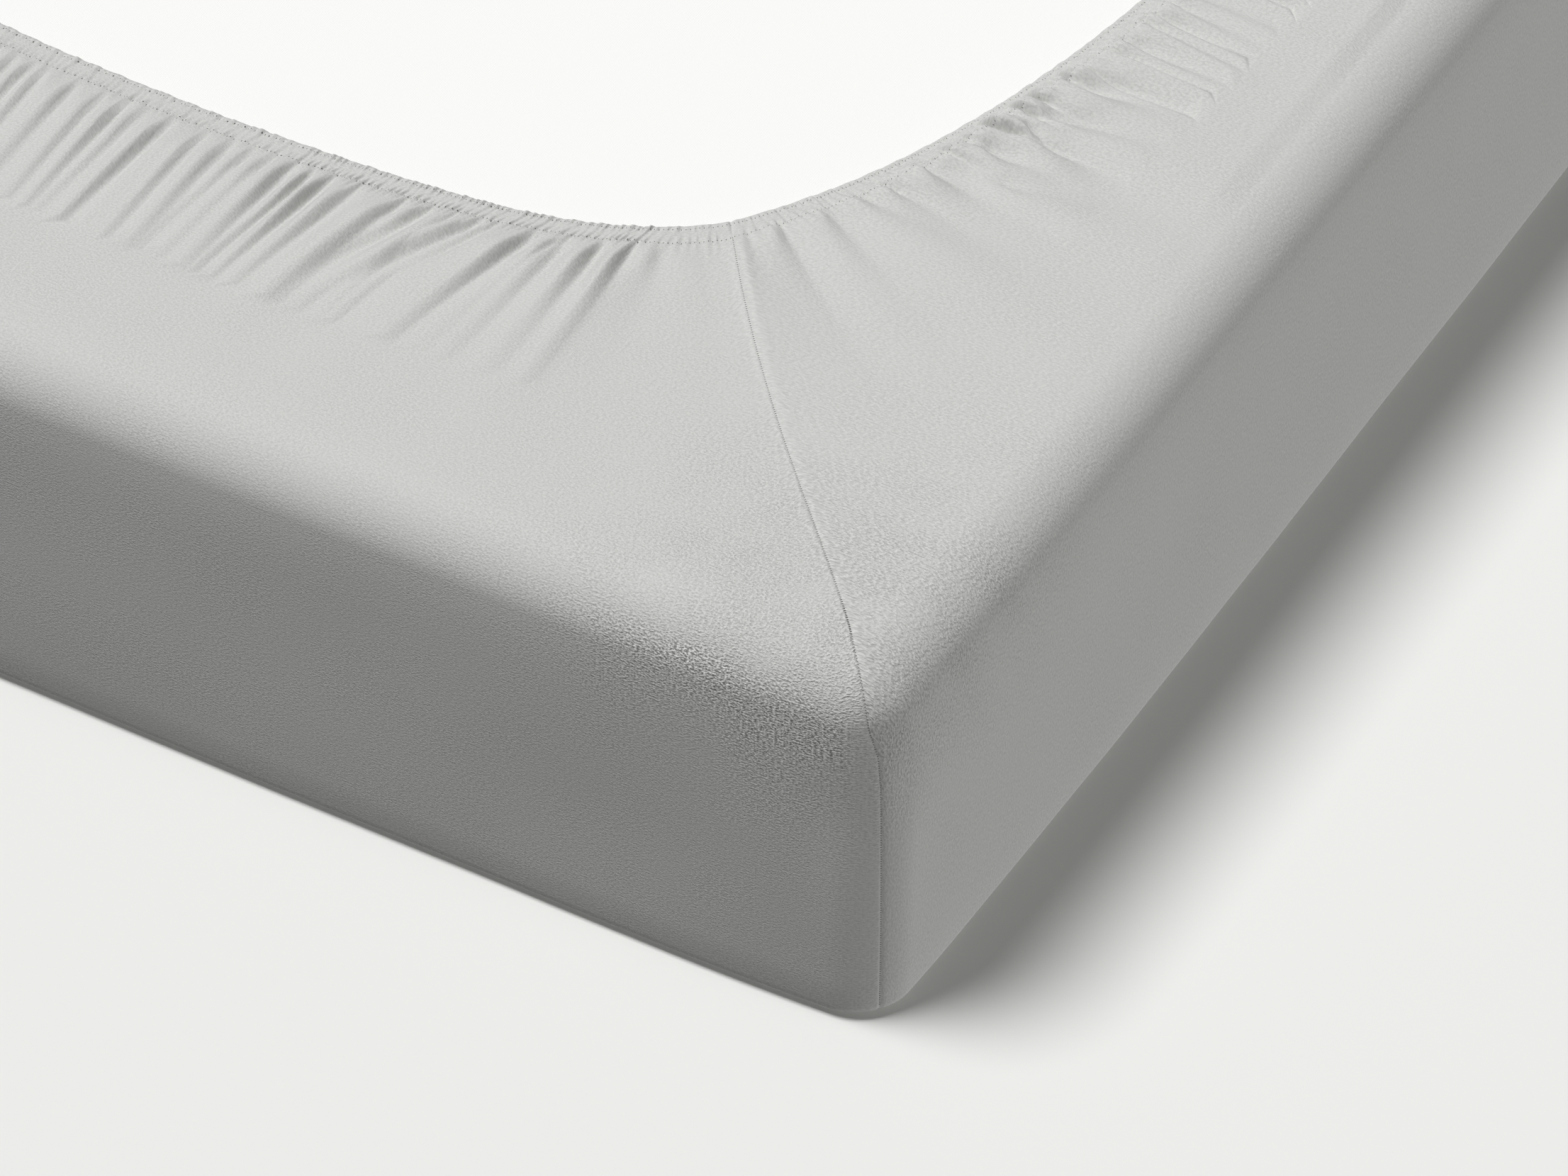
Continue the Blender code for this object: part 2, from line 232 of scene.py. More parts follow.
# The corner that shows, from the left to the right.
SHOWN_CREASES = table(
    Crease,
    (-0.1400, -0.006, 0.014, 0.060, 0.80, 0.0023),
    (-0.1260, -0.012, 0.015, 0.050, 0.95, 0.0023),
    (-0.1140, -0.004, 0.014, 0.030, 0.50, 0.0014),
    (-0.1005, -0.020, 0.013, 0.058, 1.00, 0.0023),
    (-0.0935, -0.012, 0.011, 0.045, 0.75, 0.0015),
    (-0.0765, -0.003, 0.013, 0.060, 0.90, 0.0022),
    (-0.0645, -0.003, 0.020, 0.036, 0.60, 0.0015),
    (-0.0630, 0.001, 0.015, 0.056, 0.60, 0.0021),
    (-0.0560, -0.003, 0.014, 0.024, 0.35, 0.0013),
    (-0.0480, 0.001, 0.016, 0.058, 0.90, 0.0021),
    (-0.0345, 0.001, 0.015, 0.050, 1.00, 0.0019),
    (-0.0255, -0.002, 0.018, 0.062, 0.75, 0.0024),
    (0.0036, 0.005, 0.008, 0.080, 0.50, 0.0032),
    (0.0170, -0.003, 0.013, 0.070, 0.80, 0.0036),
    (0.0375, -0.001, 0.011, 0.060, 0.58, 0.0034),
    (0.0530, 0.008, 0.013, 0.056, 0.60, 0.0040),
    (0.0660, 0.005, 0.009, 0.022, 0.70, -0.0010, True),
    (0.0670, 0.001, 0.018, 0.070, 0.65, 0.0050),
    (0.0760, 0.003, 0.009, 0.016, 0.70, -0.0010, True),
    (0.0850, -0.002, 0.012, 0.050, 0.95, 0.0046),
    (0.0980, 0.010, 0.045, 0.100, 0.50, 0.0050),
    (0.1000, 0.002, 0.008, 0.022, 0.75, -0.0010, True),
    (0.1080, 0.005, 0.007, 0.018, 0.80, -0.0013, True),
    (0.1100, -0.001, 0.024, 0.070, 0.65, 0.0048),
    (0.1250, 0.005, 0.008, 0.034, 1.40, -0.0013, True),
    (0.1310, -0.010, 0.028, 0.070, 0.85, 0.0044),
    (0.1430, 0.006, 0.026, 0.060, 0.65, 0.0046),
    (0.1450, -0.001, 0.007, 0.025, 1.35, -0.0012, True),
    (0.1555, 0.000, 0.007, 0.021, 1.35, -0.0012, True),
    (0.1660, 0.000, 0.006, 0.012, 1.10, -0.0011, True),
    (0.1690, 0.005, 0.016, 0.050, 0.90, 0.0040),
    (0.1755, 0.002, 0.007, 0.015, 1.25, -0.0012, True),
)
# A fold drifts on its way out, and widens by a share, until it has run this many times its length.
CREASE_DRIFTS_UNTIL = 1.6
CREASE_WIDENS_UNTIL = 1.8
CREASE_WIDENING = 0.7
# Its crest and trough stand this many half widths off its middle, and are wider on the side away from it.
CREST_OFF_MIDDLE = 1.2
CREST_FAR_SIDE = 2.8
TROUGH_FAR_SIDE = 2.6
# Its crest rises by this share of its trough's depth.
CREST_SHARE = 0.45
# It comes up over a distance, from a little before its start.
CREASE_BEGINS_BEFORE = 0.003
CREASE_BEGINS_OVER = 0.005
# A fold starts narrow at the sewn row, with this share of its width, and is open after this distance.
CREASE_POINT = 0.42
CREASE_OPENS_OVER = 0.024
# This share of its depth runs on after its end, and dies away with the puff.
CREASE_TAIL = 0.36
# The puff flattens to nothing in this softly where folds meet.
RELIEF_FLOOR = 0.25
CREASE_SEED = 7
CREASE_PITCH = (0.007, 0.019)
CREASE_DRIFT = (-0.008, 0.006)
CREASE_START = (0.009, 0.014)
CREASE_LENGTH = (0.016, 0.090)
CREASE_DEPTH = (0.45, 1.00)
CREASE_HALF_WIDTH = (0.0012, 0.0024)

# Puckers that the elastic draws in the hem: at its edge, at its second sewn row, and broad scallops. The
# least has this share of the greatest one's rise.
PUCKER_SEED = 21
PUCKER_SKEW = 2.2
LEAST_PUCKER = 0.35
PUCKER_RISE = 0.0017
PUCKERS_BEGIN_OVER = 0.0040
EDGE_PUCKER_PITCH = (0.0024, 0.0048)
EDGE_PUCKERS_AT = 0.0030
EDGE_PUCKERS_OVER = 0.0042
ROW_PUCKER_PITCH = (0.0020, 0.0044)
ROW_PUCKERS_OVER = 0.0042
ROW_PUCKERS_OVER_LAP = 0.0075
SCALLOP_PITCH = (0.006, 0.016)
SCALLOP_RISE = 0.0007
# The hem's edge is set back by the first of these, and between the scallops by the second as well. A small
# pucker counts for a share of a scallop.
EDGE_SET_BACK = 0.0008
SCALLOP_IN_PLAN = 0.0007
PUCKER_IN_PLAN = 0.15


class Hollow(NamedTuple):
    """A shallow dent in a wall, by its middle and half sizes. A negative depth makes it a swelling."""

    reach: float
    height: float
    half_length: float
    half_height: float
    depth: float


WALL_HOLLOWS = table(
    Hollow,
    (-0.022, 0.125, 0.016, 0.034, 0.0016),
    (0.016, 0.140, 0.010, 0.018, 0.0016),
    (-0.140, 0.060, 0.090, 0.040, 0.0010),
    (0.190, 0.080, 0.120, 0.040, 0.0010),
    (0.004, 0.191, 0.013, 0.008, -0.0006),
)


class Swell(NamedTuple):
    """One slow wave of the cloth over the lap or a wall."""

    length: float
    bearing: float
    rise: float


SWELLS = table(
    Swell,
    (0.310, 0.35, 0.00035),
    (0.190, 1.30, 0.00030),
    (0.117, 2.30, 0.00018),
    (0.073, 2.90, 0.00010),
)

# How far the lines of the knit turn off the length of the sheet on the lap, where the fan drags them.
LEAN_BY_END = math.tan(math.radians(9))
LEAN_BY_END_FADES_OVER = 0.180
LEAN_BY_SIDE = 0.545
LEAN_BY_SIDE_FADES_OVER = 0.493
# The cloth is stretched across the lines of the knit along the long side.
STRETCH_BY_SIDE = 1.32

# How open the knit is drawn: fully near a corner, and this share of it far from one.
OPEN_KNIT_UNTIL = 0.030
CLOSED_KNIT_FROM = 0.175
CLOSED_KNIT = 0.26
# It closes sooner on the way down a wall than along one.
KNIT_CLOSES_BY = (0.75, 0.75, 1.4)
# The wall of an end starts at the first of these distances in from the end, and is whole at the second.
END_WALL_FROM = 0.006
END_WALL_WHOLE = 0.001
# The jersey's features a metre: wavering of its lines, loose fibres, grain, and patches that are worn smooth.
WAVERS = 90.0
FIBRES = 1600.0
GRAINS = 1200.0
WORN_PATCHES = 26.0
# Its flecks of grain are this share as long along its lines as across them.
GRAIN_SHAPE = 0.6
# Its lines waver by this share of their pitch.
WAVER_SHARE = 0.9
# Its stitches slant by so many courses in a line's width, and rise by this share of the lines' rise.
STITCH_SLANT = 1.1
STITCH_SHARE = 0.22
# Its relief is the fibres' with so much of the knit's and the grain's, and its painted tones span this range
# of it: dark as painted shade in its low places, light as fibres and painted highlight on its high ones.
KNIT_SHARE = 0.12
GRAIN_SHARE = 3.0
RELIEF_OF_PAINTED_TONES = (1.55, 2.55)
# How much the fibres' tones, with their painted shade and highlight, show: everywhere, more where the knit is
# open, and more again on an end's wall, as painted grazing light.
PAINTED_TONES_EVERYWHERE = 0.07
PAINTED_TONES_WHERE_OPEN = 0.26
# On an end's wall the tones' contrast is painted grazing light and shade on the knit.
PAINTED_GRAZING_LIGHT_ON_END = 0.95

# Plies of the thread and yarns of the ticking, in the scales of their textures, and how deep they are drawn.
# The yarns are about 1 mm apart, which is coarser than the real half millimetre, so that they show at all.
PLY_SCALE = 2600.0
YARN_SCALE = 314.0
FINE_RELIEF = 0.00006
# Between its plies the thread is painted darker, by this factor, as painted shade in the grooves.
PAINTED_SHADE_BETWEEN_PLIES = 0.86

# How long the stitches are, and how far they turn off their row, give or take so many radians.
HEM_STITCH_LENGTH = 0.0011
HEM_STITCH_TURN = math.radians(80)
SEAM_STITCH_LENGTH = 0.0010
SEAM_STITCH_TURN = math.radians(62)
STITCH_TURN_UNEVEN = 0.16
# How many times wider the thread of a corner seam lies, and in how many steps its line crosses the lap.
SEAM_THREAD_WIDER = 1.1
SEAM_LINE_STEPS = 80

# Camera: where it looks, from how far, and its lens. It stands at the photograph's angle to the corner.
CAMERA_AZIMUTH = math.radians(29.95)
CAMERA_ELEVATION = math.radians(42.4)
CAMERA_TARGET = Vector((0.39491, -0.99122, 0.23448))
CAMERA_DISTANCE = 2.9161
CAMERA_LENS = 162.75

# Which way the main light comes from, how dim the ground light gets, and how softly sky and ground meet.
KEY_FROM = Vector((-0.30, -0.20, 1.0))
LEAST_LOW_LIGHT = 0.02
HORIZON_SOFTNESS = 0.06
# The floor lies this far below the sheet.
FLOOR_BELOW = 0.0004

# Finishes, as sRGB.
CLOTH_GREY = "#C8C8C6"
# The fleck is light fibres and painted highlight on the knit's relief; the shade is painted shade in its low
# places.
CLOTH_FLECK_AND_PAINTED_HIGHLIGHT = "#F8F8F6"
CLOTH_PAINTED_SHADE = "#7C7C7A"
# The thread is dark as painted shadow of the stitch holes, far darker than the cloth.
THREAD_DARK_AS_PAINTED_SHADOW = "#666664"
TICKING_WHITE = "#FAFAF9"
# The ticking's shade is painted shade between its yarns.
TICKING_PAINTED_SHADE = "#F3F3F1"
FLOOR_PALE = "#E6E6E4"
BACKGROUND_PALE = "#ECECEA"


def linear(hex_colour):
    """sRGB hex to linear RGBA."""
    shares = [int(hex_colour[start : start + 2], 16) / 255 for start in (1, 3, 5)]
    curve = [share / 12.92 if share <= 0.04045 else ((share + 0.055) / 1.055) ** 2.4 for share in shares]
    return (*curve, 1.0)


def smooth(share):
    """0 to 1 with no corner at either end."""
    share = np.clip(share, 0, 1)
    return share * share * (3 - 2 * share)


def bell(distance, width):
    """1 at no distance, dying away on both sides."""
    return np.exp(-((distance / width) ** 2))


def fading(distance, start, width):
    """1 up to the start, dying away past it."""
    return bell(np.maximum(distance - start, 0), width)


# ---------------------------------------------------------------- sizes and colours that a user may change


def colour_setting(name, description, hex_colour):
    """A colour that a user may change."""
    default = linear(hex_colour)
    return FloatVectorProperty(name=name, description=description, default=default, size=4, subtype="COLOR")


def length_setting(name, description, default, **limits):
    """A length that a user may change."""
    return FloatProperty(name=name, description=description, default=default, unit="LENGTH", **limits)


class ClothSettings(bpy.types.PropertyGroup):
    """Sizes and colours of the knitted cloth."""

    thickness: length_setting("Thickness", "Thickness of the cloth", 0.001, min=0.0004, max=0.003)
    # The real cloth has a line every 0.7 mm or so. It is drawn twice as coarse, because that is what shows.
    wale_pitch: length_setting("Wale pitch", "From one line of the knit to the next", 0.0014)
    course_pitch: length_setting("Course pitch", "From one stitch to the next along a line", 0.0011)
    knit_depth: length_setting("Knit depth", "How deep the knit is drawn", 0.00034)
    colour: colour_setting("Colour", "The cloth's main colour", CLOTH_GREY)
    # The fleck and the shade are painted highlight and painted shade on the knit's relief; the fleck is
    # partly light fibres as well.
    fleck: colour_setting("Fleck", "Light fibres and painted highlight", CLOTH_FLECK_AND_PAINTED_HIGHLIGHT)
    shade: colour_setting("Shade", "Painted shade in its hollows", CLOTH_PAINTED_SHADE)


class SewingSettings(bpy.types.PropertyGroup):
    """Sizes and colour of the thread."""

    hem_pitch: length_setting("Hem pitch", "From one stitch of the hem to the next", 0.0021)
    seam_pitch: length_setting("Seam pitch", "From one stitch of a corner seam to the next", 0.0014)
    thread_width: length_setting("Thread width", "How wide the thread lies", 0.00036)
    sides: IntProperty(name="Sides", description="Sides of the thread's round", default=5, min=3, max=8)
    seed: IntProperty(name="Seed", description="What the stitches' unevenness is drawn from", default=3)
    # Dark, as painted shadow of the stitch holes.
    colour: colour_setting("Colour", "The thread's colour", THREAD_DARK_AS_PAINTED_SHADOW)


class MattressSettings(bpy.types.PropertyGroup):
    """Colours of the mattress's cover."""

    colour: colour_setting("Colour", "The cover's main colour", TICKING_WHITE)
    shade: colour_setting("Shade", "Painted shade between its yarns", TICKING_PAINTED_SHADE)


class StageSettings(bpy.types.PropertyGroup):
    """Light, floor and background."""

    key_strength: FloatProperty(name="Key light", description="Strength of the main light", default=2.86)
    key_softness: FloatProperty(
        name="Key softness", description="Width of the main light", default=math.radians(22), subtype="ANGLE"
    )
    sky: FloatProperty(name="Sky", description="Light from above, from all round", default=0.20)
    low: FloatProperty(name="Low light", description="Light from the ground, on the whole", default=0.455)
    low_slope: FloatProperty(
        name="Low light's slope", description="How much brighter it is at the back right", default=0.52
    )
    floor_size: length_setting("Floor size", "Side of the floor", 24.0)
    floor: colour_setting("Floor", "The floor's colour", FLOOR_PALE)
    background: colour_setting("Background", "What shows past the floor", BACKGROUND_PALE)


class SheetSettings(bpy.types.PropertyGroup):
    """All that a user may change."""

    cloth: PointerProperty(type=ClothSettings, name="Cloth", description="The knitted cloth")
    sewing: PointerProperty(type=SewingSettings, name="Sewing", description="The thread")
    mattress: PointerProperty(type=MattressSettings, name="Mattress", description="The mattress")
    stage: PointerProperty(type=StageSettings, name="Stage", description="Light, floor and background")


# ---------------------------------------------------------------- outline, hem and fan


def outline_turn(reach, corner):
    """The outline's bearing at this reach: 0 faces the short end's way, a quarter turn the long side's."""
    return (np.clip(reach / corner, -1, 1) + 1) * math.pi / 4


def outline_point(reach, inset, radius):
    """(from_side, from_end) on the outline moved in by inset, with a corner of this radius."""
    corner = inset + radius
    turn = outline_turn(reach, corner)
    on_arc = np.abs(reach) < corner
    from_side = np.where(on_arc, inset + radius * (1 - np.sin(turn)), np.where(reach < 0, -reach, inset))
    from_end = np.where(on_arc, inset + radius * (1 - np.cos(turn)), np.where(reach < 0, inset, reach))
    from_corner = 2 * inset - from_side - from_end
    pull_on_end = CORNER_PULL * np.exp(from_corner / CORNER_PULL_ALONG_END)
    pull_on_side = CORNER_PULL * np.exp(from_corner / CORNER_PULL_ALONG_SIDE)
    return np.stack([from_side + pull_on_side, from_end + pull_on_end], axis=-1)


def hem_end_curve(from_side):
    bend = np.exp((HEM_AT_SEAM_FROM_SIDE - from_side) / HEM_BEND_ALONG_END)
    return LAP_AT_MIDDLE_OF_END + (HEM_AT_SEAM_FROM_END - LAP_AT_MIDDLE_OF_END) * bend


def hem_side_curve(from_end):
    bend = np.exp((HEM_AT_SEAM_FROM_END - from_end) / HEM_BEND_ALONG_SIDE)
    return LAP_AT_MIDDLE_OF_SIDE + (HEM_AT_SEAM_FROM_SIDE - LAP_AT_MIDDLE_OF_SIDE) * bend


class HemPath:
    """The hem's edge over one quarter, from the middle of the short end to the middle of the long side."""

    def __init__(self):
        on_end = np.linspace(WIDTH / 2, HEM_AT_SEAM_FROM_SIDE, HEM_PATH_STEPS + 1)
        on_side = np.linspace(HEM_AT_SEAM_FROM_END, LENGTH / 2, HEM_PATH_STEPS + 1)[1:]
        end_points = np.stack([on_end, hem_end_curve(on_end)], axis=1)
        side_points = np.stack([hem_side_curve(on_side), on_side], axis=1)
        self.points = np.concatenate([end_points, side_points])
        steps = np.linalg.norm(np.diff(self.points, axis=0), axis=1)
        lengths = np.concatenate([[0.0], np.cumsum(steps)])
        self.total = lengths[-1]
        self.to_seam = lengths[HEM_PATH_STEPS]
        self.lengths = lengths - self.to_seam
        reach_on_end = -np.interp(on_end, *zip(*FAN_ALONG_END))
        reach_on_side = np.interp(on_side, *zip(*FAN_ALONG_SIDE))
        self.reaches = np.concatenate([reach_on_end, reach_on_side])
        self.round_trip = self.total * len(QUADRANTS)

    def point(self, along):
        """(from_side, from_end) at this distance from the seam."""
        return np.stack([np.interp(along, self.lengths, values) for values in self.points.T], axis=-1)

    def reach(self, along):
        """Where on the outline the cloth comes from that arrives here."""
        return np.interp(along, self.lengths, self.reaches)

    def along(self, reach):
        """Where the cloth arrives that leaves the outline at this reach."""
        return np.interp(reach, self.reaches, self.lengths)

    def round_hem(self, quadrant, along):
        """Distance round the whole hem, anticlockwise from the middle of the end at -Y."""
        done = np.where(quadrant % 2 == 0, along + self.to_seam, self.total - self.to_seam - along)
        return quadrant * self.total + done


PATH = HemPath()
SEAM_AT_HEM = np.array((HEM_AT_SEAM_FROM_SIDE, HEM_AT_SEAM_FROM_END))
SEAM_AT_OUTLINE = outline_point(np.array(0.0), UPPER_EDGE_RADIUS, CORNER_RADIUS_ON_LAP)
SEAM_RUN = np.linalg.norm(SEAM_AT_OUTLINE - SEAM_AT_HEM)
SEAM_WAY = (SEAM_AT_OUTLINE - SEAM_AT_HEM) / SEAM_RUN
# Across the seam, towards the long side.
SEAM_ACROSS = np.array((SEAM_WAY[1], -SEAM_WAY[0]))


def world(quadrant, place, height):
    """(n, 3) points in metres from places given as (from_side, from_end)."""
    signs = QUADRANTS[quadrant]
    x = signs[..., 0] * (WIDTH / 2 - place[..., 0])
    y = signs[..., 1] * (LENGTH / 2 - place[..., 1])
    return np.stack([x, y, np.broadcast_to(height, x.shape)], axis=-1)


def outline_place(quadrant, reach):
    """Distance round the whole outline, anticlockwise from the middle of the end at -Y."""
    along = np.where(quadrant % 2 == 0, reach + WIDTH / 2, LENGTH / 2 - reach)
    return quadrant * QUARTER + along


class Columns(NamedTuple):
    """Lines of cloth all round, anticlockwise: the quarter each is in and its place in that quarter."""

    quadrant: np.ndarray
    place: np.ndarray


def steps_out(start, stop, step_at):
    """Places from start to stop, a step apart that may change on the way."""
    places = [start]
    while places[-1] < stop:
        places.append(places[-1] + step_at(places[-1]))
    return start + (np.array(places) - start) * (stop - start) / (places[-1] - start)


def all_round(places_in):
    """Columns from the places that each quarter has, middle of the short end first."""
    quadrants = []
    places = []
    for quadrant in range(len(QUADRANTS)):
        order = places_in(quadrant)
        order = order[:-1] if quadrant % 2 == 0 else order[:0:-1]
        quadrants.append(np.full(len(order), quadrant))
        places.append(order)
    return Columns(np.concatenate(quadrants), np.concatenate(places))


def beside_seam(on_end, on_side):
    """One quarter's places: the short end's, the strip beside the seam, and the long side's."""
    strip = np.concatenate([-SEAM_STRIP[-2::-1], [0.0], SEAM_STRIP[:-1]])
    return np.concatenate([-on_end[::-1], strip, on_side])


def hem_step(quadrant, along, finer):
    """How far apart the hem's columns are at this distance from the seam."""
    if quadrant == SHOWN_CORNER and abs(along) < HEM_SHOWN_UNTIL:
        return HEM_STEP_SHOWN / finer
    beside = quadrant == SHOWN_CORNER and along < HEM_BESIDE_UNTIL
    if beside or (quadrant == LEFT_OF_SHOWN and along < 0):
        return HEM_STEP_BESIDE / finer
    return HEM_STEP_ELSEWHERE / finer


def hem_columns(finer):
    """Columns along the hem, `finer` times as many as the lap has."""

    def places_in(quadrant):
        start = SEAM_STRIP[-1]
        on_end = steps_out(start, PATH.to_seam, lambda place: hem_step(quadrant, -place, finer))
        on_side = steps_out(start, PATH.total - PATH.to_seam, lambda place: hem_step(quadrant, place, finer))
        return beside_seam(on_end, on_side)

    return all_round(places_in)


def wall_columns():
    def step_at(place):
        return WALL_STEP_AT_CORNER if place < WALL_CORNER_UNTIL else WALL_STEP_ELSEWHERE

    def places_in(_quadrant):
        start = SEAM_STRIP[-1]
        return beside_seam(steps_out(start, WIDTH / 2, step_at), steps_out(start, LENGTH / 2, step_at))

    return all_round(places_in)


# ---------------------------------------------------------------- relief of the cloth


def wrapped(distance):
    """A distance round the hem as the shorter way round."""
    half = PATH.round_trip / 2
    return (distance + half) % PATH.round_trip - half


def drawn_creases():
    """Creases round the rest of the hem, uneven but with no plan, placed by distances round the whole hem."""
    draw = np.random.default_rng(CREASE_SEED)
    creases = []
    place = PATH.to_seam + SHOWN_CREASES[-1].along + CREASE_PITCH[0]
    stop = PATH.to_seam + SHOWN_CREASES[0].along + PATH.round_trip - CREASE_PITCH[0]
    while place < stop:
        start = draw.uniform(*CREASE_START)
        length = draw.uniform(*CREASE_LENGTH)
        drift = draw.uniform(*CREASE_DRIFT) * length / CREASE_LENGTH[1]
        depth = draw.uniform(*CREASE_DEPTH)
        half_width = draw.uniform(*CREASE_HALF_WIDTH)
        creases.append(Crease(place, drift, start, start + length, depth, half_width))
        place += draw.uniform(*CREASE_PITCH)
    return creases


def crease_relief(crease, round_hem, out):
    """Shape of one fold: a gentle rise to a crest, a steep side, a trough at its foot and a gentle rise."""
    beyond = np.maximum(out - crease.start, 0)
    done = beyond / (crease.end - crease.start)
    centre = crease.along + crease.drift * np.minimum(done, CREASE_DRIFTS_UNTIL)
    point, far_side, tail = (1, 1, 0) if crease.pinch else (CREASE_POINT, TROUGH_FAR_SIDE, CREASE_TAIL)
    opened = point + (1 - point) * smooth(beyond / CREASE_OPENS_OVER)
    half_width = crease.half_width * opened * (1 + CREASE_WIDENING * smooth(done / CREASE_WIDENS_UNTIL))
    across = wrapped(round_hem - centre) / half_width
    from_crest = across + CREST_OFF_MIDDLE
    crest = CREST_SHARE * bell(from_crest, np.where(across > -CREST_OFF_MIDDLE, 1.0, CREST_FAR_SIDE))
    from_trough = across - CREST_OFF_MIDDLE
    trough = bell(from_trough, np.where(across < CREST_OFF_MIDDLE, 1.0, far_side))
    begins = smooth((out - crease.start + CREASE_BEGINS_BEFORE) / CREASE_BEGINS_OVER)
    return crease.depth * begins * (crest - trough) * (tail + (1 - tail) / (1 + done**3))


class Puckers:
    """Small swellings side by side round the hem, each with its own width and rise, and a steep far side."""

    def __init__(self, seed, pitch):
        draw = np.random.default_rng(seed)
        count = round(PATH.round_trip * 2 / sum(pitch))
        ends = np.cumsum(draw.uniform(*pitch, count))
        self.grooves = np.concatenate([[0.0], ends]) * PATH.round_trip / ends[-1]
        self.rises = draw.uniform(LEAST_PUCKER, 1.0, count)

    def rise(self, round_hem):
        place = round_hem % PATH.round_trip
        index = np.clip(np.searchsorted(self.grooves, place) - 1, 0, len(self.rises) - 1)
        share = (place - self.grooves[index]) / (self.grooves[index + 1] - self.grooves[index])
        return self.rises[index] * np.sin(math.pi * np.clip(share, 0, 1) ** PUCKER_SKEW)


SHOWN_ROUND_HEM = [crease._replace(along=crease.along + PATH.to_seam) for crease in SHOWN_CREASES]
CREASES = [*SHOWN_ROUND_HEM, *drawn_creases()]
EDGE_PUCKERS = Puckers(PUCKER_SEED, EDGE_PUCKER_PITCH)
ROW_PUCKERS = Puckers(PUCKER_SEED + 1, ROW_PUCKER_PITCH)
SCALLOPS = Puckers(PUCKER_SEED + 2, SCALLOP_PITCH)


def gather_at(along):
    """(puff, pucker, slant, starts, full) at this distance from the seam."""
    places, *columns = zip(*GATHERS)
    return tuple(np.interp(along, places, column) for column in columns)


def swell_rise(first, second):
    """Slow waves, over any two distances that lie square to each other. Never below zero."""
    rise = 0
    for swell in SWELLS:
        way = first * math.cos(swell.bearing) + second * math.sin(swell.bearing)
        rise = rise + swell.rise * (1 + np.sin(2 * math.pi * way / swell.length)) / 2
    return rise


def seam_relief(off_seam):
    """Rise of the cloth this far off a corner seam, minus towards the short end."""
    return -SEAM_GROOVE_DEPTH * bell(off_seam, np.where(off_seam < 0, SEAM_STEEP_WIDTH, SEAM_GENTLE_WIDTH))


def pucker_rise(round_hem, along, out):
    """Shares of the small and the broad puckers, 0 to 1 each."""
    _, pucker, slant, *_ = gather_at(along)
    turned = round_hem + slant * out
    near_edge = bell(out - EDGE_PUCKERS_AT, EDGE_PUCKERS_OVER)
    off_row = out - SECOND_SEWN_ROW
    near_row = bell(off_row, np.where(off_row < 0, ROW_PUCKERS_OVER, ROW_PUCKERS_OVER_LAP))
    small = EDGE_PUCKERS.rise(turned) * near_edge + ROW_PUCKERS.rise(turned) * near_row
    return small * pucker, SCALLOPS.rise(turned) * pucker


def hem_rise(out):
    """Rise of the hem and the cloth beside it, with no gathers."""
    return np.interp(out, *zip(*HEM_TOP))


def gathered_rise(round_hem, along, out):
    """Rise of the gathered cloth over the mattress, on the hem and on the lap."""
    puff, _, _, starts, full = gather_at(along)
    relief = 1.0
    for crease in CREASES:
        relief = relief + crease_relief(crease, round_hem, out)
    swelling = smooth((out - starts) / (full - starts)) ** PUFF_CURVE
    held = 1 - SEWN_ROW_HOLDS * bell(out - SECOND_SEWN_ROW, SEWN_ROW_WIDTH)
    low = RELIEF_FLOOR * np.exp(np.minimum(relief / RELIEF_FLOOR - 1, 0))
    softened = np.where(relief > RELIEF_FLOOR, relief, low)
    small, broad = pucker_rise(round_hem, along, out)
    broad = broad * SCALLOP_RISE * fading(out, SECOND_SEWN_ROW, ROW_PUCKERS_OVER_LAP)
    puckers = (small * PUCKER_RISE + broad) * smooth(out / PUCKERS_BEGIN_OVER)
    puffed = puff * swelling * fading(out, PUFF_FADES_FROM, PUFF_FADES_OVER)
    return hem_rise(out) + puffed * held * softened + puckers


def bowed(place):
    """Lap places moved with the bow of the corner seam, and their distance off that seam."""
    from_hem = place - SEAM_AT_HEM
    way = np.clip(from_hem @ SEAM_WAY / SEAM_RUN, 0, 1)
    off_seam = from_hem @ SEAM_ACROSS
    bow = SEAM_BOW * np.sin(math.pi * way**SEAM_BOW_SKEW)
    aside = SEAM_START_ASIDE * np.exp((way - 1) * SEAM_RUN / SEAM_COMES_BACK_OVER)
    moved = (bow + aside) * bell(off_seam, SEAM_BOW_SPREAD)
    return place - moved[..., None] * SEAM_ACROSS, off_seam


# ---------------------------------------------------------------- the cloth's mesh


class Rings(NamedTuple):
    """Rings of one set of columns: points, and the cloth's flat coordinates for each of its two panels."""

    points: np.ndarray
    end_flat: np.ndarray
    side_flat: np.ndarray


def upper_edge_length():
    """Length of the cloth from the floor to the start of the lap, up the wall."""
    straight = HEIGHT - LOWER_EDGE_RADIUS - UPPER_EDGE_RADIUS
    return (LOWER_EDGE_RADIUS + UPPER_EDGE_RADIUS) * math.pi / 2 + straight


def flat_coordinates(place, up_end, up_side, on_lap):
    """Flat coordinates across and along the lines of the knit, for the end panel and the side panel."""
    from_side, from_end = place[..., 0], place[..., 1]
    lean = LEAN_BY_END * np.exp(-from_side / LEAN_BY_END_FADES_OVER)
    end_flat = np.stack([from_side + lean * on_lap, up_end], axis=-1)
    dragged = LEAN_BY_SIDE * LEAN_BY_SIDE_FADES_OVER * (1 - np.exp(-from_end / LEAN_BY_SIDE_FADES_OVER))
    side_flat = np.stack([(up_side + dragged) / STRETCH_BY_SIDE, from_end], axis=-1)
    return end_flat, side_flat


